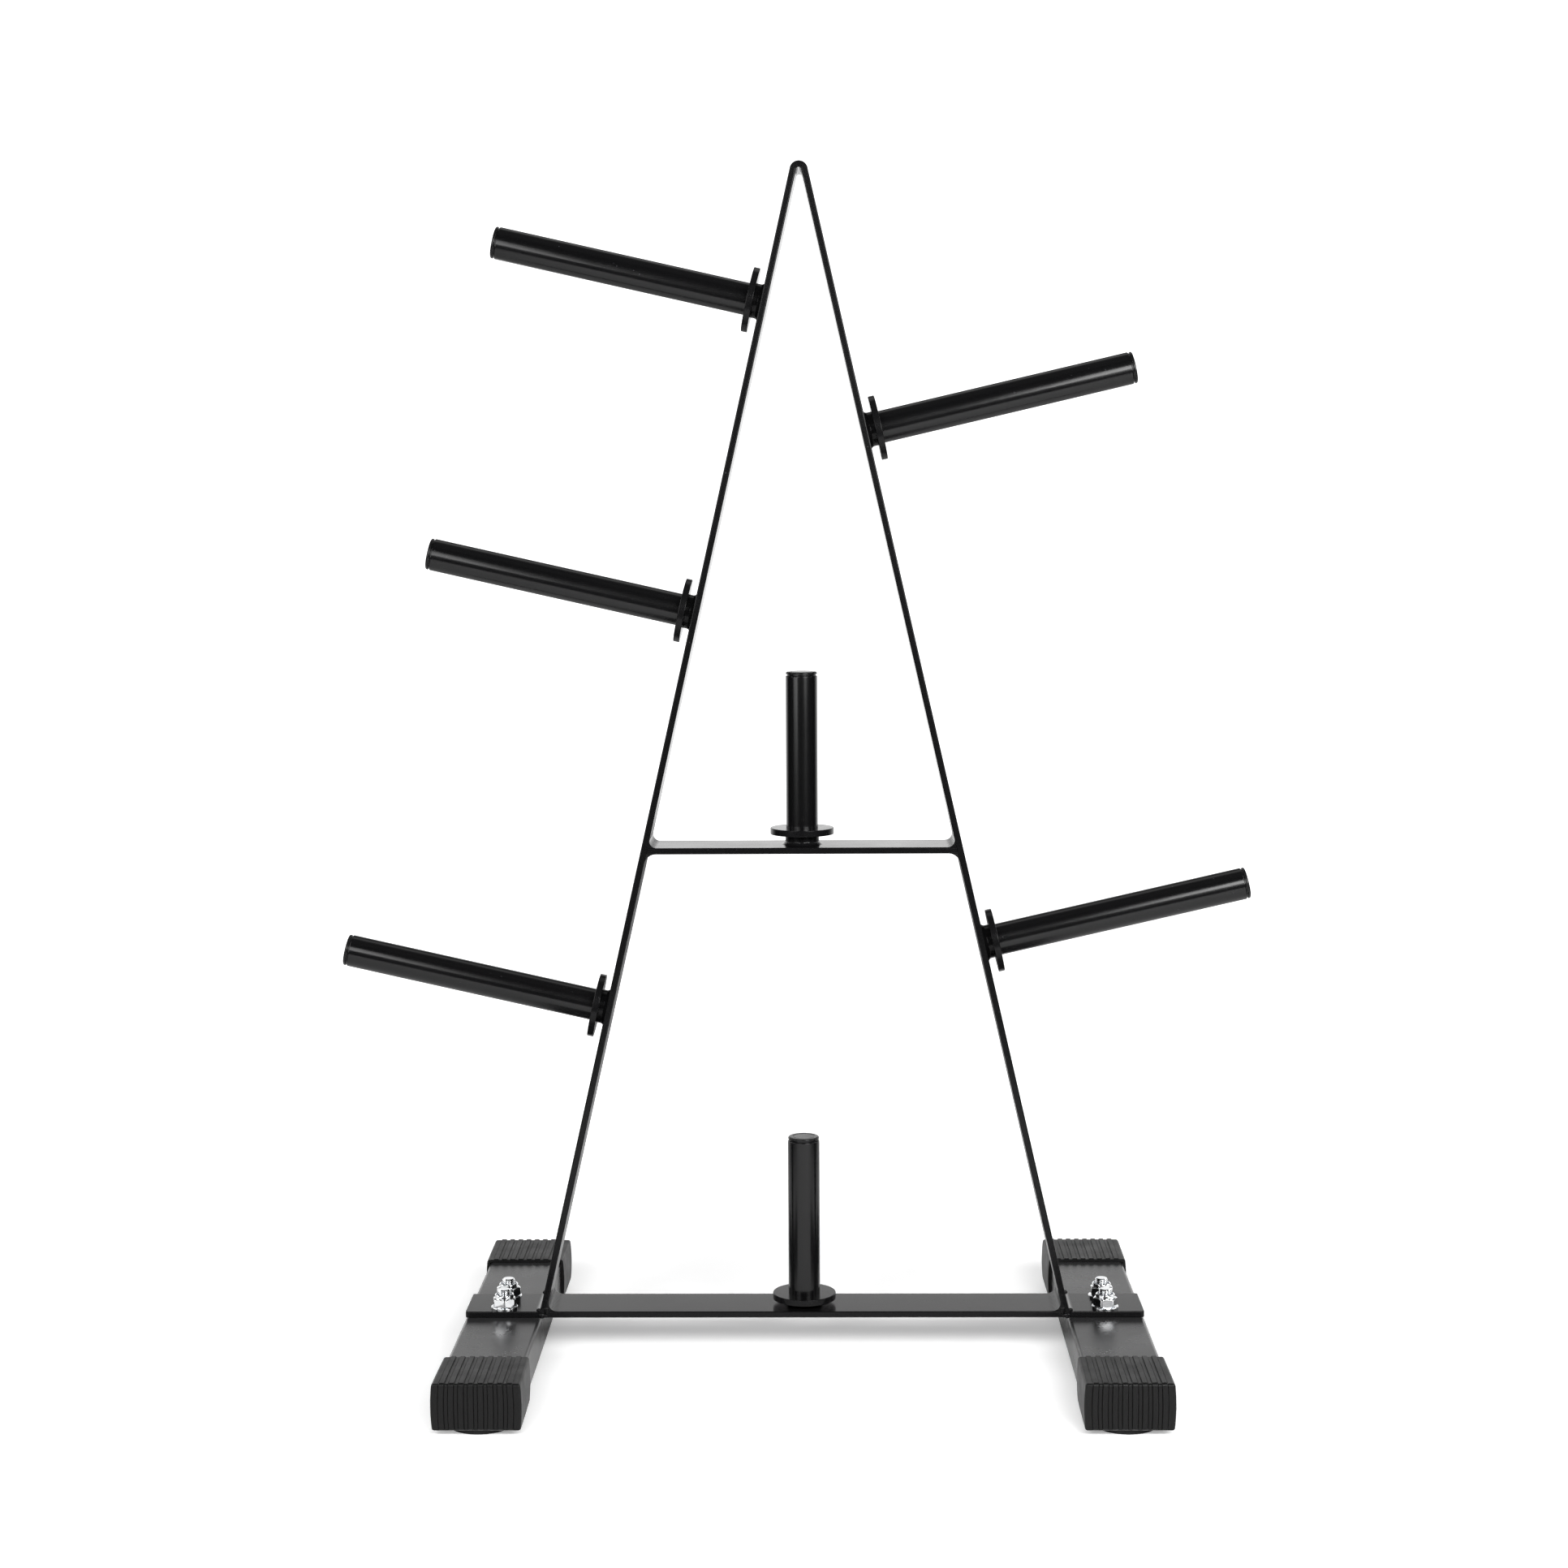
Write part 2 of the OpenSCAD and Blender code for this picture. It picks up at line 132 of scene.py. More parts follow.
def smoothstep(x: np.ndarray) -> np.ndarray:
    """3 x^2 - 2 x^3 with x held between 0 and 1."""
    x = np.clip(x, 0.0, 1.0)
    return x * x * (3 - 2 * x)


# -------------------------------------------------------------------- meshes


@dataclass
class Grid:
    """A surface given by a table of points.

    Attributes:
        points: Array of rows x columns x 3.
        wrap_rows: Whether the last row joins the first.
        wrap_cols: Whether the last column joins the first.
        cap_first: Whether the first row is closed by one flat face.
        cap_last: Whether the last row is closed by one flat face.
    """

    points: np.ndarray
    wrap_rows: bool = False
    wrap_cols: bool = True
    cap_first: bool = False
    cap_last: bool = False

    def faces(self, first_vertex: int) -> list:
        """Quads between neighbouring rows and columns, and the end faces.

        Args:
            first_vertex: Index of the grid's first vertex in the mesh.

        Returns:
            A list of vertex index lists.
        """
        rows, cols = self.points.shape[:2]
        r = np.arange(rows if self.wrap_rows else rows - 1)
        c = np.arange(cols if self.wrap_cols else cols - 1)
        i, j = np.meshgrid(r, c, indexing="ij")
        i1, j1 = (i + 1) % rows, (j + 1) % cols
        quads = np.stack([i * cols + j, i * cols + j1, i1 * cols + j1, i1 * cols + j], -1)
        faces = (quads.reshape(-1, 4) + first_vertex).tolist()
        if self.cap_first:
            faces.append((np.arange(cols)[::-1] + first_vertex).tolist())
        if self.cap_last:
            faces.append((np.arange(cols) + (rows - 1) * cols + first_vertex).tolist())
        return faces


def solid(name: str, grids: list[Grid]) -> bpy.types.Object:
    """Makes one closed object of several grids.

    Neighbouring grids share their edge points, so merging points that
    coincide closes the seams and the poles.

    Args:
        name: The object's name.
        grids: The surfaces that bound it.

    Returns:
        The new object, at the origin, with smooth shading and outward normals.
    """
    vertices, faces, count = [], [], 0
    for grid in grids:
        vertices.append(grid.points.reshape(-1, 3))
        faces += grid.faces(count)
        count += len(vertices[-1])
    mesh = bpy.data.meshes.new(name)
    mesh.from_pydata(np.concatenate(vertices).tolist(), [], faces)
    shell = bmesh.new()
    shell.from_mesh(mesh)
    bmesh.ops.remove_doubles(shell, verts=shell.verts, dist=MERGE_DISTANCE)
    bmesh.ops.dissolve_degenerate(shell, edges=shell.edges, dist=MERGE_DISTANCE)
    bmesh.ops.recalc_face_normals(shell, faces=shell.faces)
    shell.to_mesh(mesh)
    shell.free()
    mesh.shade_smooth()
    mesh.set_sharp_from_angle(angle=SHARP_ANGLE)
    made = bpy.data.objects.new(name, mesh)
    bpy.context.scene.collection.objects.link(made)
    flatten = made.modifiers.new("flat_faces", "WEIGHTED_NORMAL")
    flatten.keep_sharp = True
    return made


def turned(profile: np.ndarray, segments: int = 96) -> np.ndarray:
    """Turns a profile about Z: (r, z) becomes (r cos a, r sin a, z) for each angle a.

    Args:
        profile: Points (r, z).
        segments: Number of angles.

    Returns:
        An array of profile points x segments x 3.
    """
    a = np.linspace(0, 2 * np.pi, segments, endpoint=False)
    r, z = profile[:, :1], profile[:, 1:]
    return np.stack([r * np.cos(a), r * np.sin(a), z + 0 * a], -1)


@dataclass(frozen=True)
class Placement:
    """Place and direction of a round part: local Z runs along axis.

    Attributes:
        origin: Where the local origin lies.
        axis: Direction of the local Z axis, of length 1.
    """

    origin: np.ndarray
    axis: np.ndarray

    def put(self, points: np.ndarray) -> np.ndarray:
        """origin + x * side + y * back + z * axis, where back is +Y made square to the axis."""
        back = np.array([0.0, 1.0, 0.0])
        side = np.cross(back, self.axis)
        return self.origin + points @ np.stack([side, back, self.axis])


# ------------------------------------------------------------------ finishes


class ShaderSketch:
    """Adds and links the nodes of one material."""

    def __init__(self, name: str) -> None:
        """Starts a material that holds only the surface shader."""
        self.material = bpy.data.materials.new(name)
        self.material.use_nodes = True
        self.tree = self.material.node_tree
        self.surface = self.tree.nodes["Principled BSDF"]
        self.place = self.tree.nodes.new("ShaderNodeTexCoord").outputs["Object"]
        self.normal = None

    def set(self, **values: object) -> None:
        """Sets the surface shader's own sockets, with _ for a space in a name."""
        for key, value in values.items():
            self.surface.inputs[key.replace("_", " ")].default_value = value

    def noise(self, grain: float, detail: float = 2.0, rough: float = 0.5) -> object:
        """Noise on the piece's own coordinates.

        Args:
            grain: Size of a speck in metres.
            detail: Number of finer layers.
            rough: Strength of the finer layers.

        Returns:
            The noise value's socket.
        """
        node = self.tree.nodes.new("ShaderNodeTexNoise")
        node.inputs["Scale"].default_value = 1 / grain
        node.inputs["Detail"].default_value = detail
        node.inputs["Roughness"].default_value = rough
        self.tree.links.new(self.place, node.inputs["Vector"])
        return node.outputs["Fac"]

    def between(
            self, value: object, low: float, high: float, start: float = 0.3, end: float = 0.7) -> object:
        """Maps a value to low at start and high at end, and holds it between them.

        Args:
            value: The socket to read.
            low: Result at start.
            high: Result at end.
            start: Value that gives low.
            end: Value that gives high.

        Returns:
            The result's socket.
        """
        node = self.tree.nodes.new("ShaderNodeMapRange")
        node.inputs["From Min"].default_value = start
        node.inputs["From Max"].default_value = end
        node.inputs["To Min"].default_value = low
        node.inputs["To Max"].default_value = high
        self.tree.links.new(value, node.inputs["Value"])
        return node.outputs["Result"]

    def blend(self, factor: object, first: tuple, second: tuple) -> object:
        """Mixes two colours by a factor and returns the colour's socket."""
        node = self.tree.nodes.new("ShaderNodeMix")
        node.data_type = "RGBA"
        node.inputs["A"].default_value = (*first, 1)
        node.inputs["B"].default_value = (*second, 1)
        self.tree.links.new(factor, node.inputs["Factor"])
        return node.outputs["Result"]

    def bump(self, height: object, depth: float) -> None:
        """Adds a relief of the given depth in metres on top of the ones before."""
        node = self.tree.nodes.new("ShaderNodeBump")
        node.inputs["Strength"].default_value = 1.0
        node.inputs["Distance"].default_value = depth
        self.tree.links.new(height, node.inputs["Height"])
        if self.normal is not None:
            self.tree.links.new(self.normal, node.inputs["Normal"])
        self.normal = node.outputs["Normal"]

    def finish(self, colour: object, roughness: object) -> bpy.types.Material:
        """Links colour, roughness and relief to the surface shader."""
        self.tree.links.new(colour, self.surface.inputs["Base Color"])
        self.tree.links.new(roughness, self.surface.inputs["Roughness"])
        if self.normal is not None:
            self.tree.links.new(self.normal, self.surface.inputs["Normal"])
        return self.material


@dataclass(frozen=True)
class Coating:
    """Black coating baked or sprayed on steel.

    Attributes:
        name: The material's name.
        dark: Colour in the hollows of the coat.
        light: Colour on its specks.
        smooth: Least roughness.
        dull: Most roughness.
        grain: Size of the coat's specks.
        grain_depth: Their relief.
        peel: Size of the orange peel's waves.
        peel_depth: Their relief.
        dust: Colour of the few specks of dust.
        ior: Refractive index, which sets how strongly the coat mirrors.
    """

    name: str
    dark: tuple
    light: tuple
    smooth: float
    dull: float
    grain: float = 0.7 * MM
    grain_depth: float = 0.004 * MM
    peel: float = 4 * MM
    peel_depth: float = 0.005 * MM
    dust: tuple = (0.03, 0.03, 0.032)
    ior: float = 1.38

    def material(self) -> bpy.types.Material:
        """Builds the coat: mottled colour and gloss, specks, orange peel and a little dust."""
        sketch = ShaderSketch(self.name)
        grain = sketch.noise(self.grain, 3.0, 0.6)
        peel = sketch.noise(self.peel, 2.0)
        handling = sketch.noise(45 * MM, 4.0, 0.6)
        mottled = sketch.blend(sketch.between(grain, 0, 1), self.dark, self.light)
        dust = sketch.between(sketch.noise(2.2 * MM, 2.0), 0, 1, 0.74, 0.80)
        mix = sketch.tree.nodes.new("ShaderNodeMix")
        mix.data_type = "RGBA"
        mix.inputs["B"].default_value = (*self.dust, 1)
        sketch.tree.links.new(dust, mix.inputs["Factor"])
        sketch.tree.links.new(mottled, mix.inputs["A"])
        sketch.bump(peel, self.peel_depth)
        sketch.bump(grain, self.grain_depth)
        sketch.set(IOR=self.ior)
        return sketch.finish(mix.outputs["Result"], sketch.between(handling, self.smooth, self.dull))


@dataclass(frozen=True)
class MouldedPlastic:
    """Moulded rubber or plastic with a fine spark-eroded grain.

    Attributes:
        name: The material's name.
        dark: Colour in the grain's hollows.
        light: Colour on its tops.
        smooth: Least roughness.
        dull: Most roughness.
        grain: Size of the grain.
        grain_depth: Its relief.
        flow: Size of the cloudy flow marks.
        swirl_depth: Relief of the moulding's slow waves.
        ior: Refractive index.
    """

    name: str
    dark: tuple
    light: tuple
    smooth: float
    dull: float
    grain: float = 0.6 * MM
    grain_depth: float = 0.03 * MM
    flow: float = 18 * MM
    swirl_depth: float = 0.05 * MM
    ior: float = 1.4

    def material(self) -> bpy.types.Material:
        """Builds the plastic: grain in colour and relief, cloudy gloss."""
        sketch = ShaderSketch(self.name)
        grain = sketch.noise(self.grain, 3.0, 0.65)
        cloud = sketch.noise(self.flow, 3.0, 0.55)
        sketch.bump(sketch.noise(6 * MM, 2.0), self.swirl_depth)
        sketch.bump(grain, self.grain_depth)
        sketch.set(IOR=self.ior)
        colour = sketch.blend(sketch.between(grain, 0, 1, 0.35, 0.7), self.dark, self.light)
        return sketch.finish(colour, sketch.between(cloud, self.smooth, self.dull))


@dataclass(frozen=True)
class ZincPlate:
    """Bright zinc plating with a faint blue cast.

    Attributes:
        name: The material's name.
        bright: Colour of the clean plating.
        cloudy: Colour where it has dulled.
    """

    name: str
    bright: tuple = (0.92, 0.93, 0.94)
    cloudy: tuple = (0.76, 0.78, 0.80)

    def material(self) -> bpy.types.Material:
        """Builds the plating: metal with cloudy patches, fine scratches and a faint grain."""
        sketch = ShaderSketch(self.name)
        cloud = sketch.noise(5 * MM, 4.0, 0.6)
        fine = sketch.noise(0.5 * MM, 2.0)
        sketch.bump(sketch.noise(2.5 * MM, 2.0), 0.0015 * MM)
        sketch.bump(fine, 0.0003 * MM)
        sketch.set(Metallic=1.0)
        colour = sketch.blend(sketch.between(cloud, 0, 1, 0.4, 0.75), self.bright, self.cloudy)
        return sketch.finish(colour, sketch.between(cloud, 0.06, 0.13))


class Finish(Enum):
    """The rack's finishes: each names its slot in the record and how its material is made."""

    FRAME = ("frame_coat", Coating(
        "satin_black_powder_coat", (0.002, 0.002, 0.0022), (0.0048, 0.0048, 0.005), 0.18, 0.23, ior=1.25,
        grain_depth=0.0015 * MM, peel_depth=0.002 * MM))
    PEG = ("peg_coat", Coating(
        "gloss_black_peg_coat", (0.0014, 0.0014, 0.0016), (0.0032, 0.0032, 0.0034), 0.17, 0.21, ior=1.42,
        grain_depth=0.003 * MM, peel_depth=0.006 * MM))
    FOOT = ("foot_coat", Coating(
        "satin_black_foot_coat", (0.012, 0.012, 0.0125), (0.030, 0.030, 0.0305), 0.25, 0.31, ior=1.42,
        grain_depth=0.004 * MM, peel_depth=0.003 * MM))
    PLUG = ("peg_plug", MouldedPlastic(
        "black_plug_plastic", (0.002, 0.002, 0.0022), (0.005, 0.005, 0.0053), 0.24, 0.32,
        grain_depth=0.006 * MM, swirl_depth=0.01 * MM))
    CAP = ("foot_cap_rubber", MouldedPlastic(
        "black_cap_rubber", (0.002, 0.002, 0.002), (0.005, 0.005, 0.005), 0.36, 0.46, ior=1.32))
    PAD = ("pad_rubber", MouldedPlastic(
        "black_pad_rubber", (0.006, 0.006, 0.006), (0.012, 0.012, 0.012), 0.6, 0.75))
    ZINC = ("zinc", ZincPlate("bright_zinc_plate"))
    NYLON = ("nylon", MouldedPlastic(
        "blue_grey_nylon", (0.10, 0.12, 0.16), (0.14, 0.16, 0.21), 0.35, 0.45, grain_depth=0.003 * MM,
        swirl_depth=0.004 * MM))

    @property
    def slot(self) -> str:
        """Name of the material slot in the record."""
        return self.value[0]

    def material(self) -> bpy.types.Material:
        """The finish's material, made once."""
        recipe = self.value[1]
        return bpy.data.materials.get(recipe.name) or recipe.material()


def dress(piece: bpy.types.Object, finish: Finish, *nodes: str) -> bpy.types.Object:
    """Gives a piece its finish, lets it ride on the rack and hides the CAD nodes that it stands for.

    Args:
        piece: The new piece.
        finish: Its finish.
        nodes: The CAD nodes that it replaces.

    Returns:
        The same piece.
    """
    piece.data.materials.append(finish.material())
    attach(piece, BODY)
    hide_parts(*nodes)
    LOG.info("%s: %d faces, %s, for %s", piece.name, len(piece.data.polygons), finish.slot, ", ".join(nodes))
    return piece


# -------------------------------------------------------------------- layout


def mount(name: str) -> dict:
    """The record's mount of that name."""
    return next(m for m in frame["record"]["mounts"] if m["name"] == name)


@dataclass(frozen=True)
class Layout:
    """Places that several sub-assemblies share, read from the frame.

    Attributes:
        lean: Angle of the legs from the vertical, in radians.
        top: Height of the frame's top.
        bar_t: Thickness of the flat bar.
        bar_w: Its width.
        foot_top: Level of the foot tubes' top.
        flange_end: X of the flanges' outer ends.
        gauge: X of the right foot tube's centre line.
        mid_top: Level of the middle crossbar's top.
        apex_r: Inner radius of the bend at the top.
        foot_r: Inner radius of the bends at the feet.
    """

    lean: float
    top: float
    bar_t: float
    bar_w: float
    foot_top: float
    flange_end: float
    gauge: float
    mid_top: float
    apex_r: float = 2 * MM
    foot_r: float = 5 * MM

    @classmethod
    def from_frame(cls) -> "Layout":
        """Reads the layout from the CAD nodes' boxes and a peg's direction."""
        low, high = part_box("frame_bar")
        bar_low, bar_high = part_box("low_crossbar")
        tube_low, tube_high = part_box("right_foot_tube")
        return cls(
            lean=math.asin(mount("peg_top_right")["axis"][2]),
            top=high.z,
            bar_t=bar_high.z - bar_low.z,
            bar_w=high.y - low.y,
            foot_top=bar_low.z,
            flange_end=high.x,
            gauge=(tube_low.x + tube_high.x) / 2,
            mid_top=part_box("mid_crossbar")[1].z,
        )

    @property
    def apex_z(self) -> float:
        """Height of the top bend's centre."""
        return self.top - self.apex_r - self.bar_t

    @property
    def flange_top(self) -> float:
        """Level of the flanges' top."""
        return self.foot_top + self.bar_t

    @property
    def foot_bend(self) -> tuple[float, float]:
        """Centre (x, z) of the right foot's bend: foot_r from the flange's top and the leg's outer face."""
        z = self.flange_top + self.foot_r
        rise = (z - self.apex_z) * math.sin(self.lean)
        return (self.apex_r + self.bar_t + self.foot_r - rise) / math.cos(self.lean), z

    def inner_face_x(self, z: float) -> float:
        """X of the right leg's inner face at a height: the line that touches the top bend's inner circle."""
        return (self.apex_r - (z - self.apex_z) * math.sin(self.lean)) / math.cos(self.lean)


# --------------------------------------------------------------------- frame


@dataclass
class FrameBar:
    """The bent flat bar: two flanges, two legs and the bends between them.

    Attributes:
        layout: The shared places.
        edge_r: Radius of the rolled bar's long edges.
        end_r: Radius of the sawn ends' edges.
        corner_r: Radius of the flanges' corners.
        bulge: How far the bar's edges spread inside a bend, as a share of its width.
        bend_steps: Segments in each bend.
    """

    layout: Layout
    edge_r: float = 0.9 * MM
    end_r: float = 0.6 * MM
    corner_r: float = 2.5 * MM
    bulge: float = 0.010
    bend_steps: int = 28

    def half_path(self) -> tuple[np.ndarray, np.ndarray, np.ndarray]:
        """Centre line of the right half, from the flange's end up to the top.

        A bend's points are centre + (radius + half the thickness) * (cos a, sin a).

        Returns:
            The points (x, z), the normals (x, z) and the bend's sign at each
            point: 1 where the normal points to the bend's centre, -1 where it
            points away and 0 on the straights.
        """
        lay = self.layout
        lean = math.degrees(lay.lean)
        mid = lay.bar_t / 2
        flange_z = lay.foot_top + mid
        end_d = np.concatenate([
            self.end_r * (1 - np.cos(np.linspace(0, np.pi / 2, 5))),
            self.corner_r * (1 - np.cos(np.linspace(0.9, np.pi / 2, 7))),
        ])
        flange_x = np.concatenate([lay.flange_end - np.unique(end_d), np.linspace(
            lay.flange_end - 1.5 * self.corner_r, lay.foot_bend[0], 12)])
        flange = np.stack([flange_x, np.full_like(flange_x, flange_z)], 1)
        foot = arc(lay.foot_bend, lay.foot_r + mid, 270, 180 + lean, self.bend_steps)
        apex = arc((0, lay.apex_z), lay.apex_r + mid, lean, 90, self.bend_steps)
        share = np.linspace(0, 1, 26)[1:-1, None]
        leg = foot[-1] * (1 - share) + apex[0] * share
        outward = np.array([math.cos(lay.lean), math.sin(lay.lean)])
        normals = np.concatenate([
            np.tile([0.0, 1.0], (len(flange), 1)),
            (np.array(lay.foot_bend) - foot) / (lay.foot_r + mid),
            np.tile(outward, (len(leg), 1)),
            (apex - np.array([0, lay.apex_z])) / (lay.apex_r + mid),
        ])
        swell = np.sin(np.linspace(0, np.pi, self.bend_steps + 1))
        rise = np.sin(np.linspace(0, np.pi / 2, self.bend_steps + 1))
        sign = np.concatenate([np.zeros(len(flange)), swell, np.zeros(len(leg)), -rise])
        return np.concatenate([flange, foot, leg, apex]), normals, sign

    def build(self) -> bpy.types.Object:
        """Carries the bar's outline along the whole path and closes the ends.

        A point is path + a * normal + b * Y. The width b shrinks near the
        ends as the flange corners' circle does, and spreads a little on the
        inside of each bend.
        """
        path, normal, sign = self.half_path()
        path = np.concatenate([path, (path * [-1, 1])[-2::-1]])
        normal = np.concatenate([normal, (normal * [-1, 1])[-2::-1]])
        sign = np.concatenate([sign, sign[-2::-1]])
        outline = bar_outline(self.layout.bar_w, self.layout.bar_t, self.edge_r)
        a, b = outline[:, 0], outline[:, 1]
        from_end = self.layout.flange_end - np.abs(path[:, 0])
        half_w = self.layout.bar_w / 2
        corner = np.sqrt(1 - np.clip(1 - from_end / self.corner_r, 0, 1) ** 2)
        edge = np.sqrt(1 - np.clip(1 - from_end / self.end_r, 0, 1) ** 2)
        width = 1 - (self.corner_r * (1 - corner) + self.end_r * (1 - edge)) / half_w
        depth = 1 - self.end_r * (1 - edge) / (self.layout.bar_t / 2)
        spread = 1 + self.bulge * sign[:, None] * a / (self.layout.bar_t / 2)
        away = path[:, None, :] + normal[:, None, :] * (depth[:, None] * a)[..., None]
        across = b * width[:, None] * spread
        points = np.stack([away[..., 0], across, away[..., 1]], -1)
        grid = Grid(points, cap_first=True, cap_last=True)
        return dress(solid("painted_frame_bar", [grid]), Finish.FRAME, "frame_bar")


@dataclass
class Crossbars:
    """The middle and the low crossbar, cut to the legs' slope.

    Attributes:
        layout: The shared places.
        edge_r: Radius of the rolled bar's long edges.
    """

    layout: Layout
    edge_r: float = 0.9 * MM

    def bar(self, name: str, node: str, top: float, slope: float) -> bpy.types.Object:
        """A straight bar along X.

        A point is (s * reach(z), y, z) with s from -1 to 1, where reach falls
        with the height as the legs' inner faces do.

        Args:
            name: The new piece's name.
            node: The CAD node that it stands for.
            top: Level of its top face.
            slope: How much its ends move inwards for each unit of height.

        Returns:
            The new piece.
        """
        outline = bar_outline(self.layout.bar_w, self.layout.bar_t, self.edge_r)
        z, y = top - self.layout.bar_t / 2 + outline[:, 0], outline[:, 1]
        low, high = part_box(node)
        reach = high.x - (z - low.z) * slope
        share = np.linspace(-1, 1, 33)[:, None]
        points = np.stack([share * reach, y + 0 * share, z + 0 * share], -1)
        return dress(solid(name, [Grid(points, cap_first=True, cap_last=True)]), Finish.FRAME, node)

    def build(self) -> None:
        """Builds both crossbars."""
        self.bar("painted_mid_crossbar", "mid_crossbar", self.layout.mid_top, math.tan(self.layout.lean))
        self.bar("painted_low_crossbar", "low_crossbar", self.layout.flange_top, 0.0)


@dataclass
class BarWelds:
    """Weld beads along Y where the crossbars meet the legs.

    Attributes:
        layout: The shared places.
        upper_r: Radius of the hollow faces above the middle crossbar, and the least at the low one.
        under_r: Radius of the hollow faces below the middle crossbar.
        inset: How far a bead stops short of the bar's edges.
        end_r: Radius of a bead's ends.
        run: How far the low beads run up the leg past the bend.
        ripple: Height of the beads' ripples.
        pitch: Distance from ripple to ripple.
    """

    layout: Layout
    upper_r: float = 5.5 * MM
    under_r: float = 9 * MM
    inset: float = 0.1 * MM
    end_r: float = 0.5 * MM
    run: float = 1 * MM
    ripple: float = 0.10 * MM
    pitch: float = 2.6 * MM

    def bead(
            self, corner: tuple, start: float, end: float, radius: float, foot: np.ndarray,
            seed: int) -> Grid:
        """One bead on the right: a hollow face between two edges, carried along Y.

        The face's arc has its centre on the bisector at radius / sin(half
        angle). The ripple is a sine of y whose crests bow along the arc, and
        it dies out at both toes. At its ends the bead shrinks to its corner
        as a quarter circle does.

        Args:
            corner: The corner (x, z) between the two edges.
            start: Direction of the first edge in degrees.
            end: Direction of the second edge in degrees.
            radius: Radius of the hollow face.
            foot: Points (x, z) that close the section behind the face.
            seed: Seed of the bead's small unevenness.

        Returns:
            The bead's surface.
        """
        half = math.radians((end - start) / 2)
        middle = math.radians((start + end) / 2)
        towards = np.array([math.cos(middle), math.sin(middle)])
        centre = np.array(corner) + radius / math.sin(half) * towards
        face = arc((0, 0), 1.0, start - 90, end - 270, 12)
        share = np.linspace(0, 1, len(face))
        length = self.layout.bar_w / 2 - self.inset
        y = np.linspace(-length, length, 97)[:, None]
        rng = np.random.default_rng(seed)
        phases = rng.uniform(0, 2 * np.pi, 4)
        uneven = sum(np.sin(y / ((7 + 5 * k) * MM) + p) for k, p in enumerate(phases)) / 4
        crest = np.sin(2 * np.pi * (y + 1.2 * MM * np.sin(np.pi * share)) / self.pitch)
        swell = np.sin(np.pi * share) * (self.ripple * crest + 0.5 * self.ripple * uneven)
        surface = centre + (radius - swell)[..., None] * face
        closing = np.broadcast_to(foot, (len(y), *foot.shape))
        section = np.concatenate([surface, closing], 1)
        shrink = np.sqrt(1 - np.clip(1 - (length - np.abs(y)) / self.end_r, 0, 1) ** 2)
        section = np.array(corner) + (section - np.array(corner)) * np.maximum(shrink, 0.02)[..., None]
        points = np.stack([section[..., 0], np.broadcast_to(y, section.shape[:2]), section[..., 1]], -1)
        return Grid(points, cap_first=True, cap_last=True)

    def both_sides(self, beads: list[Grid]) -> list[Grid]:
        """The beads and their mirror images on the left."""
        flipped = [Grid(b.points * [-1, 1, 1], cap_first=b.cap_first, cap_last=b.cap_last) for b in beads]
        return beads + flipped

    def end_blobs(self) -> list[Grid]:
        """Blobs of weld over the seam at the right foot's front and back edges.

        Each is an ellipsoid, centre + radii * unit sphere, whose radius waves
        a little with the sine of the angle.
        """
        lay = self.layout
        outer_r = lay.foot_r + lay.bar_t
        seam = np.array([lay.inner_face_x(lay.foot_top) + 1 * MM, lay.foot_top + 1.6 * MM])
        spots = [
            (arc(lay.foot_bend, outer_r, 238, 238, 0)[0], (2.6, 1.1, 2.1)),
            (arc(lay.foot_bend, outer_r, 205, 205, 0)[0], (2.3, 1.3, 3.0)),
            (arc(lay.foot_bend, lay.foot_r, 232, 232, 0)[0], (1.9, 1.2, 1.5)),
            (seam, (3.0, 0.9, 1.5)),
        ]
        ball = turned(arc((0, 0), 1.0, -90, 90, 14), 28)
        angle = np.linspace(0, 2 * np.pi, 28, endpoint=False)
        blobs = []
        for k, (spot, radii) in enumerate(spots):
            for side in (-1, 1):
                wave = 1 + 0.07 * np.sin(3 * angle + k + side)[None, :, None]
                centre = np.array([spot[0], side * (lay.bar_w / 2 - 0.4 * MM), spot[1]])
                blobs.append(Grid(centre + ball * wave * np.array(radii) * MM))
        return blobs

    def build(self) -> None:
        """Builds the four beads at the middle crossbar, and the two at the low one with their end blobs."""
        lay = self.layout
        lean = math.degrees(lay.lean)
        below_z = lay.mid_top - lay.bar_t
        above = (lay.inner_face_x(lay.mid_top), lay.mid_top)
        below = (lay.inner_face_x(below_z), below_z)
        beads = [
            self.bead(above, 90 + lean, 180, self.upper_r, np.array([above]), 1),
            self.bead(below, 180, 270 + lean, self.under_r, np.array([below]), 2),
        ]
        dress(solid("mid_bar_weld_beads", self.both_sides(beads)), Finish.FRAME, "mid_bar_welds")
        corner = (lay.inner_face_x(lay.flange_top), lay.flange_top)
        outer_r = lay.foot_r + lay.bar_t
        bend_run = (lay.foot_r + outer_r * math.sin(lay.lean)) / math.cos(lay.lean)
        radius = max(self.upper_r, (bend_run + self.run) * math.tan((math.pi / 2 - lay.lean) / 2))
        bar_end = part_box("low_crossbar")[1].x
        wedge = np.concatenate([
            [[bar_end, lay.flange_top], [bar_end, lay.foot_top]],
            arc(lay.foot_bend, outer_r, 270, 180 + lean, 10),
        ])
        bead = self.bead(corner, 90 + lean, 180, radius, wedge, 3)
        beads = self.both_sides([bead, *self.end_blobs()])
        dress(solid("low_bar_weld_beads", beads), Finish.FRAME, "low_bar_welds")


# ---------------------------------------------------------------- plate pegs


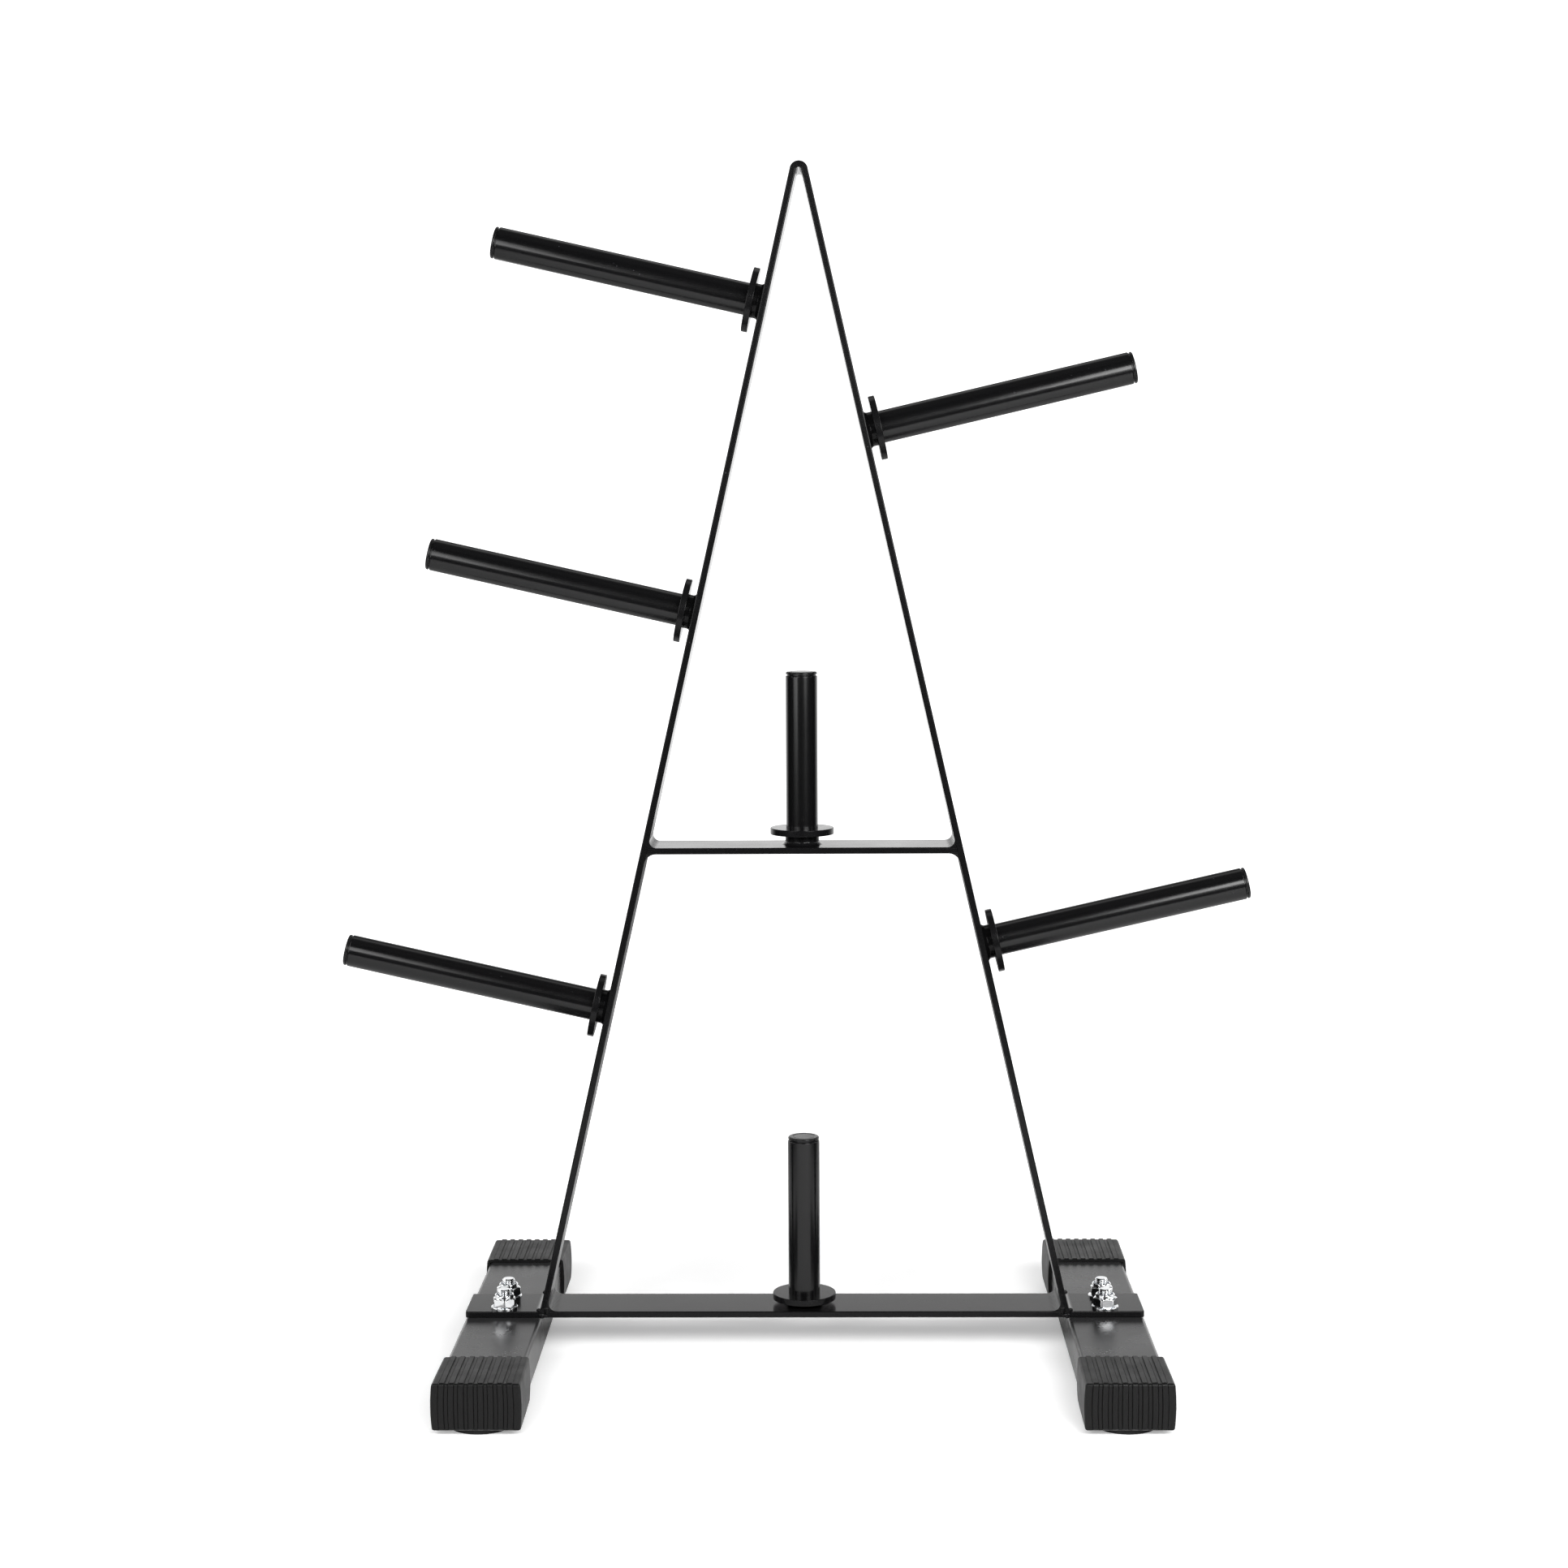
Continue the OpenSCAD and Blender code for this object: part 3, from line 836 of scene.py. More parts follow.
@dataclass
class PlatePeg:
    """A peg for plates: its tube, collar, root weld and end plug.

    Attributes:
        tag: The peg's name within the pieces' names.
        tube_node: CAD node of the tube.
        collar_node: CAD node of the collar.
        weld_node: CAD node of the root weld.
        plug_node: CAD node of the end plug.
        pin: Name of the record's mount on the exposed tube.
        gap: Distance from the root to the collar.
        length: From the root to the plug's tip.
        outer_r: Radius of the tube.
        bore_r: Radius of its bore.
        seat_r: Radius under the collar.
        collar_r: Radius of the collar.
        collar_t: Thickness of the collar.
        weld_r: Radius of the root weld's fillet.
        head_t: Thickness of the plug's head.
        neck_h: Gap between the head and the tube.
    """

    tag: str
    tube_node: str
    collar_node: str
    weld_node: str
    plug_node: str
    pin: str
    gap: float
    length: float
    outer_r: float = 12.5 * MM
    bore_r: float = 11 * MM
    seat_r: float = 12.3 * MM
    collar_r: float = 25 * MM
    collar_t: float = 5 * MM
    weld_r: float = 3 * MM
    head_t: float = 2.2 * MM
    neck_h: float = 0.8 * MM

    @property
    def place(self) -> Placement:
        """The peg's root: back along the axis from the middle of the exposed tube."""
        pin = mount(self.pin)
        axis = np.array(pin["axis"], float)
        axis /= np.linalg.norm(axis)
        shoulder = self.gap + self.collar_t
        tube_end = self.length - self.head_t - self.neck_h
        return Placement(np.array(pin["pos_m"]) - axis * (shoulder + tube_end) / 2, axis)

    def turned_piece(self, name: str, profile: np.ndarray, finish: Finish, node: str) -> bpy.types.Object:
        """Turns a closed profile about the peg's axis and dresses it.

        Args:
            name: Start of the piece's name.
            profile: Points (r, z) of a closed section.
            finish: The piece's finish.
            node: The CAD node that it stands for.

        Returns:
            The new piece.
        """
        points = self.place.put(turned(profile))
        return dress(solid(f"{name}_{self.tag}", [Grid(points, wrap_rows=True)]), finish, node)

    def tube(self) -> bpy.types.Object:
        """Tube with a seat under its collar and broken edges at its open end."""
        shoulder = self.gap + self.collar_t
        end = self.length - self.head_t - self.neck_h
        corners = [
            (self.bore_r, 0), (self.seat_r, 0), (self.seat_r, shoulder),
            (self.outer_r, shoulder), (self.outer_r, end), (self.bore_r, end),
        ]
        lip = 0.9 * MM
        profile = rounded_outline(corners, [0, 0, 0, 0.1 * MM, lip, 0.2 * MM], 5)
        return self.turned_piece("peg_tube", profile, Finish.PEG, self.tube_node)

    def collar(self) -> bpy.types.Object:
        """Disc cut from plate, with broken edges."""
        near, far = self.gap, self.gap + self.collar_t
        r = self.collar_r
        rim = 0.5 * MM
        corners = [(self.seat_r, near), (r, near), (r, far), (self.seat_r, far)]
        profile = rounded_outline(corners, [0, rim, rim, 0.05 * MM], 4)
        return self.turned_piece("peg_collar", profile, Finish.FRAME, self.collar_node)

    def root_weld(self) -> bpy.types.Object:
        """Root weld: a fillet whose radius ripples round the peg.

        The fillet's outer points move out by a sine of the angle, with crests
        that bow along the fillet, plus a slower unevenness.
        """
        neck = self.seat_r + 1 * MM
        ripple_h, segments = 0.11 * MM, 160
        r = min(self.weld_r, 0.9 * self.gap)
        fillet = arc((neck + r, r), r, 270, 180, 10)
        profile = np.concatenate([[[self.seat_r, 0]], fillet, [[neck, self.gap], [self.seat_r, self.gap]]])
        points = turned(profile, segments)
        angle = np.linspace(0, 2 * np.pi, segments, endpoint=False)
        share = np.linspace(0, 1, len(fillet) + 1)[:, None]
        crests = np.sin(34 * angle + 2.0 * share) + 0.8 * np.sin(5 * angle + 1.3) + 0.5 * np.sin(9 * angle)
        push = ripple_h * crests * np.sin(np.pi * np.clip(share * 0.9 + 0.1, 0, 1))
        around = np.stack([np.cos(angle), np.sin(angle), 0 * angle], -1)
        points[1:len(fillet) + 2] += push[..., None] * around
        placed = self.place.put(points)
        name = f"peg_root_weld_{self.tag}"
        return dress(solid(name, [Grid(placed, wrap_rows=True)]), Finish.FRAME, self.weld_node)

    def plug(self) -> bpy.types.Object:
        """Push-in plug: rounded rim, flat face with a shallow ring groove, neck and stem."""
        end = self.length - self.head_t - self.neck_h
        tip, head_r = self.length, self.outer_r - 0.2 * MM
        neck_r, stem_r = self.bore_r + 0.2 * MM, self.bore_r - 0.1 * MM
        ring_r, ring_w, ring_d = 8.6 * MM, 0.5 * MM, 0.3 * MM
        corners = [
            (0, end - 12 * MM), (stem_r, end - 12 * MM), (stem_r, end), (neck_r, end),
            (neck_r, end + self.neck_h), (head_r, end + self.neck_h), (head_r, tip),
            (ring_r + ring_w, tip), (ring_r, tip - ring_d), (ring_r - ring_w, tip - 0.1 * MM),
            (0, tip - 0.1 * MM),
        ]
        radii = [0, 0.8 * MM, 0, 0, 0, 0.6 * MM, 1.2 * MM, 0.3 * MM, 0.2 * MM, 0.3 * MM, 0]
        profile = rounded_outline(corners, radii, 6, closed=False)
        points = self.place.put(turned(profile))
        piece = solid(f"peg_plug_{self.tag}", [Grid(points)])
        return dress(piece, Finish.PLUG, self.plug_node)

    def build(self) -> None:
        """Builds the peg's four pieces."""
        self.tube()
        self.collar()
        self.root_weld()
        self.plug()

    @classmethod
    def on_leg(cls, tag: str) -> "PlatePeg":
        """A side peg."""
        return cls(
            tag, f"peg_{tag}", f"collar_{tag}", f"peg_weld_{tag}", f"peg_cap_{tag}", f"peg_{tag}",
            gap=6 * MM, length=211 * MM)

    @classmethod
    def post(cls, tag: str, gap: float) -> "PlatePeg":
        """An upright post on a crossbar."""
        return cls(
            tag, tag, f"{tag}_collar", f"{tag}_weld", f"{tag}_cap", tag, gap=gap, length=135.3 * MM)


# ---------------------------------------------------------------------- feet


@dataclass
class FootTube:
    """Rectangular tube that a flange stands on.

    Attributes:
        side: "left" or "right".
        wall: The tube's wall.
        corner_r: Radius of its outer corners.
    """

    side: str
    wall: float = 2 * MM
    corner_r: float = 3 * MM

    def build(self) -> bpy.types.Object:
        """Carries the outer and the inner outline along Y and joins them at both ends."""
        low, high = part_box(f"{self.side}_foot_tube")
        width, height = high.x - low.x, high.z - low.z
        centre = np.array([(low.x + high.x) / 2, 0, (low.z + high.z) / 2])
        outer = bar_outline(height, width, self.corner_r)
        inner = bar_outline(height - 2 * self.wall, width - 2 * self.wall, self.corner_r - self.wall)
        y = np.linspace(low.y, high.y, 25)
        rows = [(outer, v) for v in y] + [(inner, v) for v in y[::-1]]
        points = np.stack([
            np.stack([line[:, 0], np.full(len(line), v), line[:, 1]], -1) for line, v in rows])
        grid = Grid(points + centre, wrap_rows=True)
        return dress(solid(f"{self.side}_base_tube", [grid]), Finish.FOOT, f"{self.side}_foot_tube")


@dataclass
class FootCap:
    """Ribbed cap over a foot tube's end, with its round pad.

    Attributes:
        tag: The foot's name, such as left_front.
        wall: Side walls.
        end_wall: End wall.
        side_r: Radius of the long edges.
        end_r: Radius of the edges round the end face.
        rib_count: Number of ribs.
        rib_margin: Plain shoulder beside the outermost ribs.
        rib_w: Width of a rib.
        rib_h: Height of a rib.
        rib_slope: Width of a rib's flank.
        groove_w: Width of the fine groove at a rib's foot.
        groove_h: Depth of that groove.
        barrel: How far the sides bulge at half height.
        waist: How much narrower the cap is at its rim, on each side.
    """

    tag: str
    wall: float = 2.4 * MM
    end_wall: float = 3 * MM
    side_r: float = 1.8 * MM
    end_r: float = 2.0 * MM
    rib_count: int = 8
    rib_margin: float = 5.7 * MM
    rib_w: float = 3.9 * MM
    rib_h: float = 0.75 * MM
    rib_slope: float = 0.4 * MM
    groove_w: float = 0.3 * MM
    groove_h: float = 0.2 * MM
    barrel: float = 1.0 * MM
    waist: float = 0.5 * MM

    def __post_init__(self) -> None:
        """Takes the cap's size and place from its CAD node."""
        low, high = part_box(f"{self.tag}_foot_cap")
        self.sign = -1.0 if low.y < 0 else 1.0
        self.width = high.x - low.x
        self.length = high.y - low.y - self.rib_h
        self.height = high.z - low.z - self.rib_h
        self.centre_x = (low.x + high.x) / 2
        self.rim_y = high.y if self.sign < 0 else low.y
        self.base_z = low.z

    def columns(self) -> tuple[np.ndarray, np.ndarray]:
        """X of the ribbed sheet's columns and the ribs' height there.

        A rib's height is a smooth step over its flank, from the distance to
        the rib's middle, and the groove at its foot is half a wave of a
        sine. Columns crowd on the flanks and in the grooves.
        """
        pitch = (self.width - 2 * self.rib_margin - self.rib_w) / (self.rib_count - 1)
        middles = (np.arange(self.rib_count) - (self.rib_count - 1) / 2) * pitch
        flank = np.linspace(-0.5, 0.5, 7) * self.rib_slope + self.rib_w / 2
        foot = self.rib_w / 2 + self.rib_slope / 2
        groove = foot + np.linspace(0, 1, 6)[1:] * self.groove_w
        offsets = np.concatenate([-flank, flank, -groove, groove])
        reach = self.width / 2 - self.side_r
        x = np.concatenate([(middles[:, None] + offsets).ravel(), np.linspace(-reach, reach, 33)])
        x = np.unique(np.round(x, 7))
        distance = np.abs(x[:, None] - middles).min(1)
        rib = smoothstep((self.rib_w / 2 + self.rib_slope / 2 - distance) / self.rib_slope)
        groove = np.sin(np.pi * np.clip((distance - foot) / self.groove_w, 0, 1))
        return x, rib * self.rib_h - groove * self.groove_h

    def path(self) -> tuple[np.ndarray, np.ndarray, np.ndarray]:
        """The cap's middle section: along the top, down the end and back along the bottom.

        Returns:
            Points (y, z) from the rim, normals (y, z) and the share of the
            ribs' height at each point, which fades out below the end face.
        """
        r, long, tall = self.end_r, self.length, self.height
        run = np.linspace(0, long - r, 13)[:-1]
        drop = np.linspace(tall - r, r, 15)[1:-1]
        upper = arc((long - r, tall - r), r, 90, 0, 8)
        lower = arc((long - r, r), r, 0, -90, 8)
        points = np.concatenate([
            np.stack([run, np.full_like(run, tall)], 1), upper,
            np.stack([np.full_like(drop, long), drop], 1), lower,
            np.stack([run[::-1], np.zeros_like(run)], 1)])
        normals = np.concatenate([
            np.tile([0.0, 1.0], (len(run), 1)), (upper - [long - r, tall - r]) / r,
            np.tile([1.0, 0.0], (len(drop), 1)), (lower - [long - r, r]) / r,
            np.tile([0.0, -1.0], (len(run), 1))])
        fade = smoothstep(1 + normals[:, 1] * 1.2)
        return points, normals, fade

    def swelled(self, points: np.ndarray) -> np.ndarray:
        """Bulges the sides: x grows with 1 - (2 z / height - 1)^2 and shrinks a little towards the rim."""
        x, y, z = points[..., 0], points[..., 1], points[..., 2]
        belly = self.barrel * (1 - (2 * np.clip(z / self.height, 0, 1) - 1) ** 2)
        waist = self.waist * (1 - np.clip(y / self.length, 0, 1)) ** 2
        out = points.copy()
        out[..., 0] = x * (1 + (belly - waist) / (self.width / 2))
        return out

    def skin(self) -> tuple[list[Grid], np.ndarray]:
        """The outer skin and its edge at the rim.

        The ribbed sheet is path + normal * fade * rib height. Beside it, the
        long edges turn a quarter circle into the side walls, which are filled
        between the path's first half and its mirror half.

        Returns:
            The skin's grids and the rim's closed loop of points.
        """
        path, normal, fade = self.path()
        x, rib = self.columns()
        lift = path[:, None] + normal[:, None] * (fade[:, None] * rib)[..., None]
        sheet = np.stack([np.broadcast_to(x, lift.shape[:2]), lift[..., 0], lift[..., 1]], -1)
        grids = [Grid(self.swelled(sheet), wrap_cols=False)]
        turn = np.linspace(0, np.pi / 2, 7)
        half = len(path) // 2
        share = np.linspace(0, 1, 9)[None, :, None]
        edges, walls = {}, {}
        for side in (-1, 1):
            inset = path[:, None] - normal[:, None] * (self.side_r * (1 - np.cos(turn)))[None, :, None]
            reach = side * (self.width / 2 - self.side_r + self.side_r * np.sin(turn))
            edge = np.stack([np.broadcast_to(reach, inset.shape[:2]), inset[..., 0], inset[..., 1]], -1)
            inner = edge[:, -1]
            wall = inner[:half + 1, None] * (1 - share) + inner[::-1][:half + 1, None] * share
            edges[side], walls[side] = self.swelled(edge), self.swelled(wall)
            grids += [Grid(edges[side], wrap_cols=False), Grid(walls[side], wrap_cols=False)]
        top = self.swelled(sheet)
        rim = np.concatenate([
            top[0], edges[1][0][1:], walls[1][0][1:], edges[1][-1][::-1][1:],
            top[-1][::-1][1:], edges[-1][-1][1:], walls[-1][0][::-1][1:], edges[-1][0][::-1][1:-1]])
        return grids, rim

    def build(self) -> bpy.types.Object:
        """Builds the cap: its skin, the rim, and the hollow that holds the tube."""
        grids, rim = self.skin()
        inside = rim.copy()
        reach = self.width / 2 - self.wall
        inside[:, 0] = np.clip(rim[:, 0], -reach, reach)
        inside[:, 2] = np.clip(rim[:, 2], self.wall, self.height - self.wall)
        deep = inside.copy()
        deep[:, 1] = self.length - self.end_wall
        grids.append(Grid(np.stack([rim, inside, deep]), cap_last=True))
        for grid in grids:
            x, y, z = np.moveaxis(grid.points, -1, 0)
            grid.points = np.stack([self.centre_x + x, self.rim_y + self.sign * y, self.base_z + z], -1)
        return dress(solid(f"{self.tag}_ribbed_cap", grids), Finish.CAP, f"{self.tag}_foot_cap")

    def pad(self) -> bpy.types.Object:
        """Round pad: broken edges, a shallow hollow below and a stem into the cap's floor."""
        low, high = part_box(f"{self.tag}_pad")
        radius = (high.x - low.x) / 2
        tread = self.base_z
        corners = [
            (0, 0.8 * MM), (radius * 0.62, 0.8 * MM), (radius * 0.66, 0), (radius, 0),
            (radius, tread), (4 * MM, tread), (4 * MM, high.z), (0, high.z),
        ]
        radii = [0, 0.5 * MM, 0.4 * MM, 1.0 * MM, 0.8 * MM, 0, 0.3 * MM, 0]
        profile = rounded_outline(corners, radii, 5, closed=False)
        centre = np.array([(low.x + high.x) / 2, (low.y + high.y) / 2, 0])
        piece = solid(f"{self.tag}_round_pad", [Grid(turned(profile) + centre)])
        return dress(piece, Finish.PAD, f"{self.tag}_pad")


# ----------------------------------------------------------------- fasteners


@dataclass
class Fasteners:
    """The four bolts with their washers, lock nuts and nylon inserts.

    Attributes:
        layout: The shared places.
        pitch_y: Distance between the two bolts of a flange.
        bolt_r: Radius of the thread.
        thread_pitch: Pitch of the thread.
        thread_depth: Depth of the thread.
        hole_r: Radius of the washers' holes.
        washer_r: Radius of the washers.
        flat_r: From a nut's axis to its flats.
        hex_h: Height of a nut's hexagon.
        collar_r: Radius of a nut's round collar.
        insert_r: Outer radius of the nylon inserts.
        lip: Floor below each insert and lip above it.
        head_r: Radius of the bolts' heads.
        head_h: Height of the heads.
        socket_r: From the axis to a socket's flats.
        socket_h: Depth of the sockets.
    """

    layout: Layout
    pitch_y: float = 30 * MM
    bolt_r: float = 5 * MM
    thread_pitch: float = 1.5 * MM
    thread_depth: float = 0.75 * MM
    hole_r: float = 5.5 * MM
    washer_r: float = 10.5 * MM
    flat_r: float = 8.5 * MM
    hex_h: float = 6.8 * MM
    collar_r: float = 7.5 * MM
    insert_r: float = 6.3 * MM
    lip: float = 0.8 * MM
    head_r: float = 8.75 * MM
    head_h: float = 5 * MM
    socket_r: float = 3 * MM
    socket_h: float = 2.8 * MM

    def places(self) -> list[tuple[np.ndarray, float]]:
        """Centre and turn of each of the four bolts."""
        turns = np.random.default_rng(11).uniform(0, 60, 4)
        spots = [(sx, sy) for sx in (-1, 1) for sy in (-1, 1)]
        return [
            (np.array([sx * self.layout.gauge, sy * self.pitch_y / 2, 0]), math.radians(t))
            for (sx, sy), t in zip(spots, turns)]

    def set_of_four(
            self, name: str, points: np.ndarray, closed: bool, finish: Finish, node: str) -> bpy.types.Object:
        """Copies a round part to the four bolts, each with its own turn.

        Args:
            name: The piece's name.
            points: The part's grid round the Z axis.
            closed: Whether its profile is a closed loop.
            finish: Its finish.
            node: The CAD node that the set stands for.

        Returns:
            One object with four separate solids.
        """
        grids = []
        for centre, turn in self.places():
            spin = np.array(Matrix.Rotation(turn, 3, "Z"))
            grids.append(Grid(points @ spin.T + centre, wrap_rows=closed))
        return dress(solid(name, grids), finish, node)

    @staticmethod
    def hexagon(flat_r: float, angle: np.ndarray) -> np.ndarray:
        """Radius of a hexagon at each angle: flat_r / cos of the angle from the nearest flat's middle."""
        sixth = np.pi / 3
        return flat_r / np.cos((angle + sixth / 2) % sixth - sixth / 2)

    def bolts(self) -> bpy.types.Object:
        """Bolts: low domed head with a hexagon socket, shank and thread.

        The thread's radius is a rounded triangle wave of z / pitch - angle /
        2 pi, so its crests climb as a helix. Near the tip a cone trims it.
        """
        low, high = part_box("foot_bolts")
        count = 72
        angle = np.linspace(0, 2 * np.pi, count, endpoint=False)
        head_z, seat_z = low.z, low.z + self.head_h
        socket = self.hexagon(self.socket_r, angle)
        dome_corners = [
            (5.2 * MM, head_z), (self.head_r, head_z + 2.6 * MM),
            (self.head_r, seat_z), (self.bolt_r, seat_z),
        ]
        dome = rounded_outline(dome_corners, [0, 1.6 * MM, 0.3 * MM, 0], 6, closed=False)
        nut_z = self.layout.flange_top + 2 * MM
        z = np.arange(nut_z + self.hex_h, high.z + 1e-9, 0.1 * MM)
        wave = np.abs(2 * ((z[:, None] / self.thread_pitch - angle / (2 * np.pi)) % 1) - 1)
        crest = smoothstep(np.clip(wave * 1.15 - 0.05, 0, 1))
        run_in = smoothstep((z - z[0]) / self.thread_pitch)[:, None]
        radius = self.bolt_r - self.thread_depth * (1 - crest) * run_in
        radius = np.minimum(radius, self.bolt_r - 0.9 * MM + (high.z - z)[:, None] * 0.9)
        rows = [
            (np.zeros(count), head_z + self.socket_h), (socket, head_z + self.socket_h),
            (socket, head_z + 0.2 * MM), (socket + 0.2 * MM, head_z),
        ]
        rows += [(np.full(count, r), v) for r, v in dome]
        rows += [(np.full(count, self.bolt_r), v) for v in np.linspace(seat_z, z[0], 4)[1:]]
        rows += [(radius[k], v) for k, v in enumerate(z)]
        rows += [(radius[-1] * 0.5, high.z), (np.zeros(count), high.z)]
        r = np.stack([row[0] for row in rows])
        heights = np.stack([np.broadcast_to(row[1], count) for row in rows])
        points = np.stack([r * np.cos(angle), r * np.sin(angle), heights], -1)
        return self.set_of_four("threaded_bolts", points, False, Finish.ZINC, "foot_bolts")

    def nuts(self) -> bpy.types.Object:
        """Lock nuts: a hexagon whose corners a cone trims, a rolled collar and a bore.

        The radius of the hexagon's rows is the lesser of the hexagon's and
        the cone's, which widens by 1 / tan 30 degrees of the height.
        """
        low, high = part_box("lock_nuts")
        count = 96
        angle = np.linspace(0, 2 * np.pi, count, endpoint=False)
        flats = self.hexagon(self.flat_r, angle)
        flats = np.minimum(flats, self.flat_r / math.cos(math.pi / 6) - 0.12 * MM)
        depth = np.array([0, 0.08, 0.2, 0.35, 0.5, 0.7, 0.95]) * MM
        cone = self.flat_r - 0.15 * MM + depth / math.tan(math.pi / 6)
        hex_z = low.z + self.hex_h
        bore = self.bolt_r + 0.05 * MM
        rows = [(np.full(count, bore + 0.6 * MM), low.z)]
        rows += [(np.minimum(flats, c), low.z + d) for c, d in zip(cone, depth)]
        rows += [(np.minimum(flats, c), hex_z - d) for c, d in zip(cone[::-1], depth[::-1])]
        collar = rounded_outline([
            (self.collar_r + 0.8 * MM, hex_z), (self.collar_r, hex_z + 0.25 * MM), (self.collar_r, high.z),
            (self.insert_r - 0.25 * MM, high.z - 0.2 * MM), (self.insert_r, high.z - self.lip),
            (self.insert_r, hex_z + self.lip), (bore, hex_z + self.lip), (bore, low.z + 0.6 * MM),
        ], [0, 0.3 * MM, 1.0 * MM, 0.15 * MM, 0, 0, 0, 0], 6, closed=False)
        rows += [(np.full(count, r), v) for r, v in collar]
        r = np.stack([row[0] for row in rows])
        heights = np.array([row[1] for row in rows])[:, None] + 0 * angle
        points = np.stack([r * np.cos(angle), r * np.sin(angle), heights], -1)
        return self.set_of_four("hex_lock_nuts", points, True, Finish.ZINC, "lock_nuts")

    def washers(self) -> bpy.types.Object:
        """Flat washers with broken edges."""
        low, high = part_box("bolt_washers")
        corners = [
            (self.hole_r, low.z), (self.washer_r, low.z), (self.washer_r, high.z), (self.hole_r, high.z),
        ]
        profile = rounded_outline(corners, [0.1 * MM, 0.2 * MM, 0.45 * MM, 0.3 * MM], 5)
        return self.set_of_four("flat_washers", turned(profile, 72), True, Finish.ZINC, "bolt_washers")

    def inserts(self) -> bpy.types.Object:
        """Nylon rings in the nuts' collars, with a worn inner edge."""
        low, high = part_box("nut_inserts")
        inner = self.bolt_r + 0.05 * MM
        corners = [(inner, low.z), (self.insert_r, low.z), (self.insert_r, high.z), (inner, high.z)]
        profile = rounded_outline(corners, [0, 0, 0.1 * MM, 0.4 * MM], 4)
        return self.set_of_four("nylon_rings", turned(profile, 48), True, Finish.NYLON, "nut_inserts")

    def build(self) -> None:
        """Builds the four sets."""
        self.bolts()
        self.washers()
        self.nuts()
        self.inserts()


# -------------------------------------------------------------------- studio


@dataclass(frozen=True)
class Softbox:
    """A rectangular studio light.

    Attributes:
        name: Its name.
        place: Its centre.
        facing: The direction in which it shines.
        size: Width and height.
        radiance: Its brightness, where 1 is just white to the lens.
        mirrored: Whether glossy surfaces show it.
        spreads: Whether it lights matt surfaces.
    """

    name: str
    place: tuple
    facing: tuple
    size: tuple
    radiance: float
    mirrored: bool = True
    spreads: bool = True

    def build(self) -> None:
        """Adds the light."""
        data = bpy.data.lights.new(self.name, "AREA")
        data.shape = "RECTANGLE"
        data.size, data.size_y = self.size
        data.energy = math.pi * self.size[0] * self.size[1] * self.radiance
        lamp = bpy.data.objects.new(self.name, data)
        lamp.location = self.place
        lamp.rotation_euler = Vector(self.facing).to_track_quat("-Z", "Y").to_euler()
        lamp.visible_glossy = self.mirrored
        lamp.visible_diffuse = self.spreads
        lamp.visible_camera = False
        bpy.context.scene.collection.objects.link(lamp)


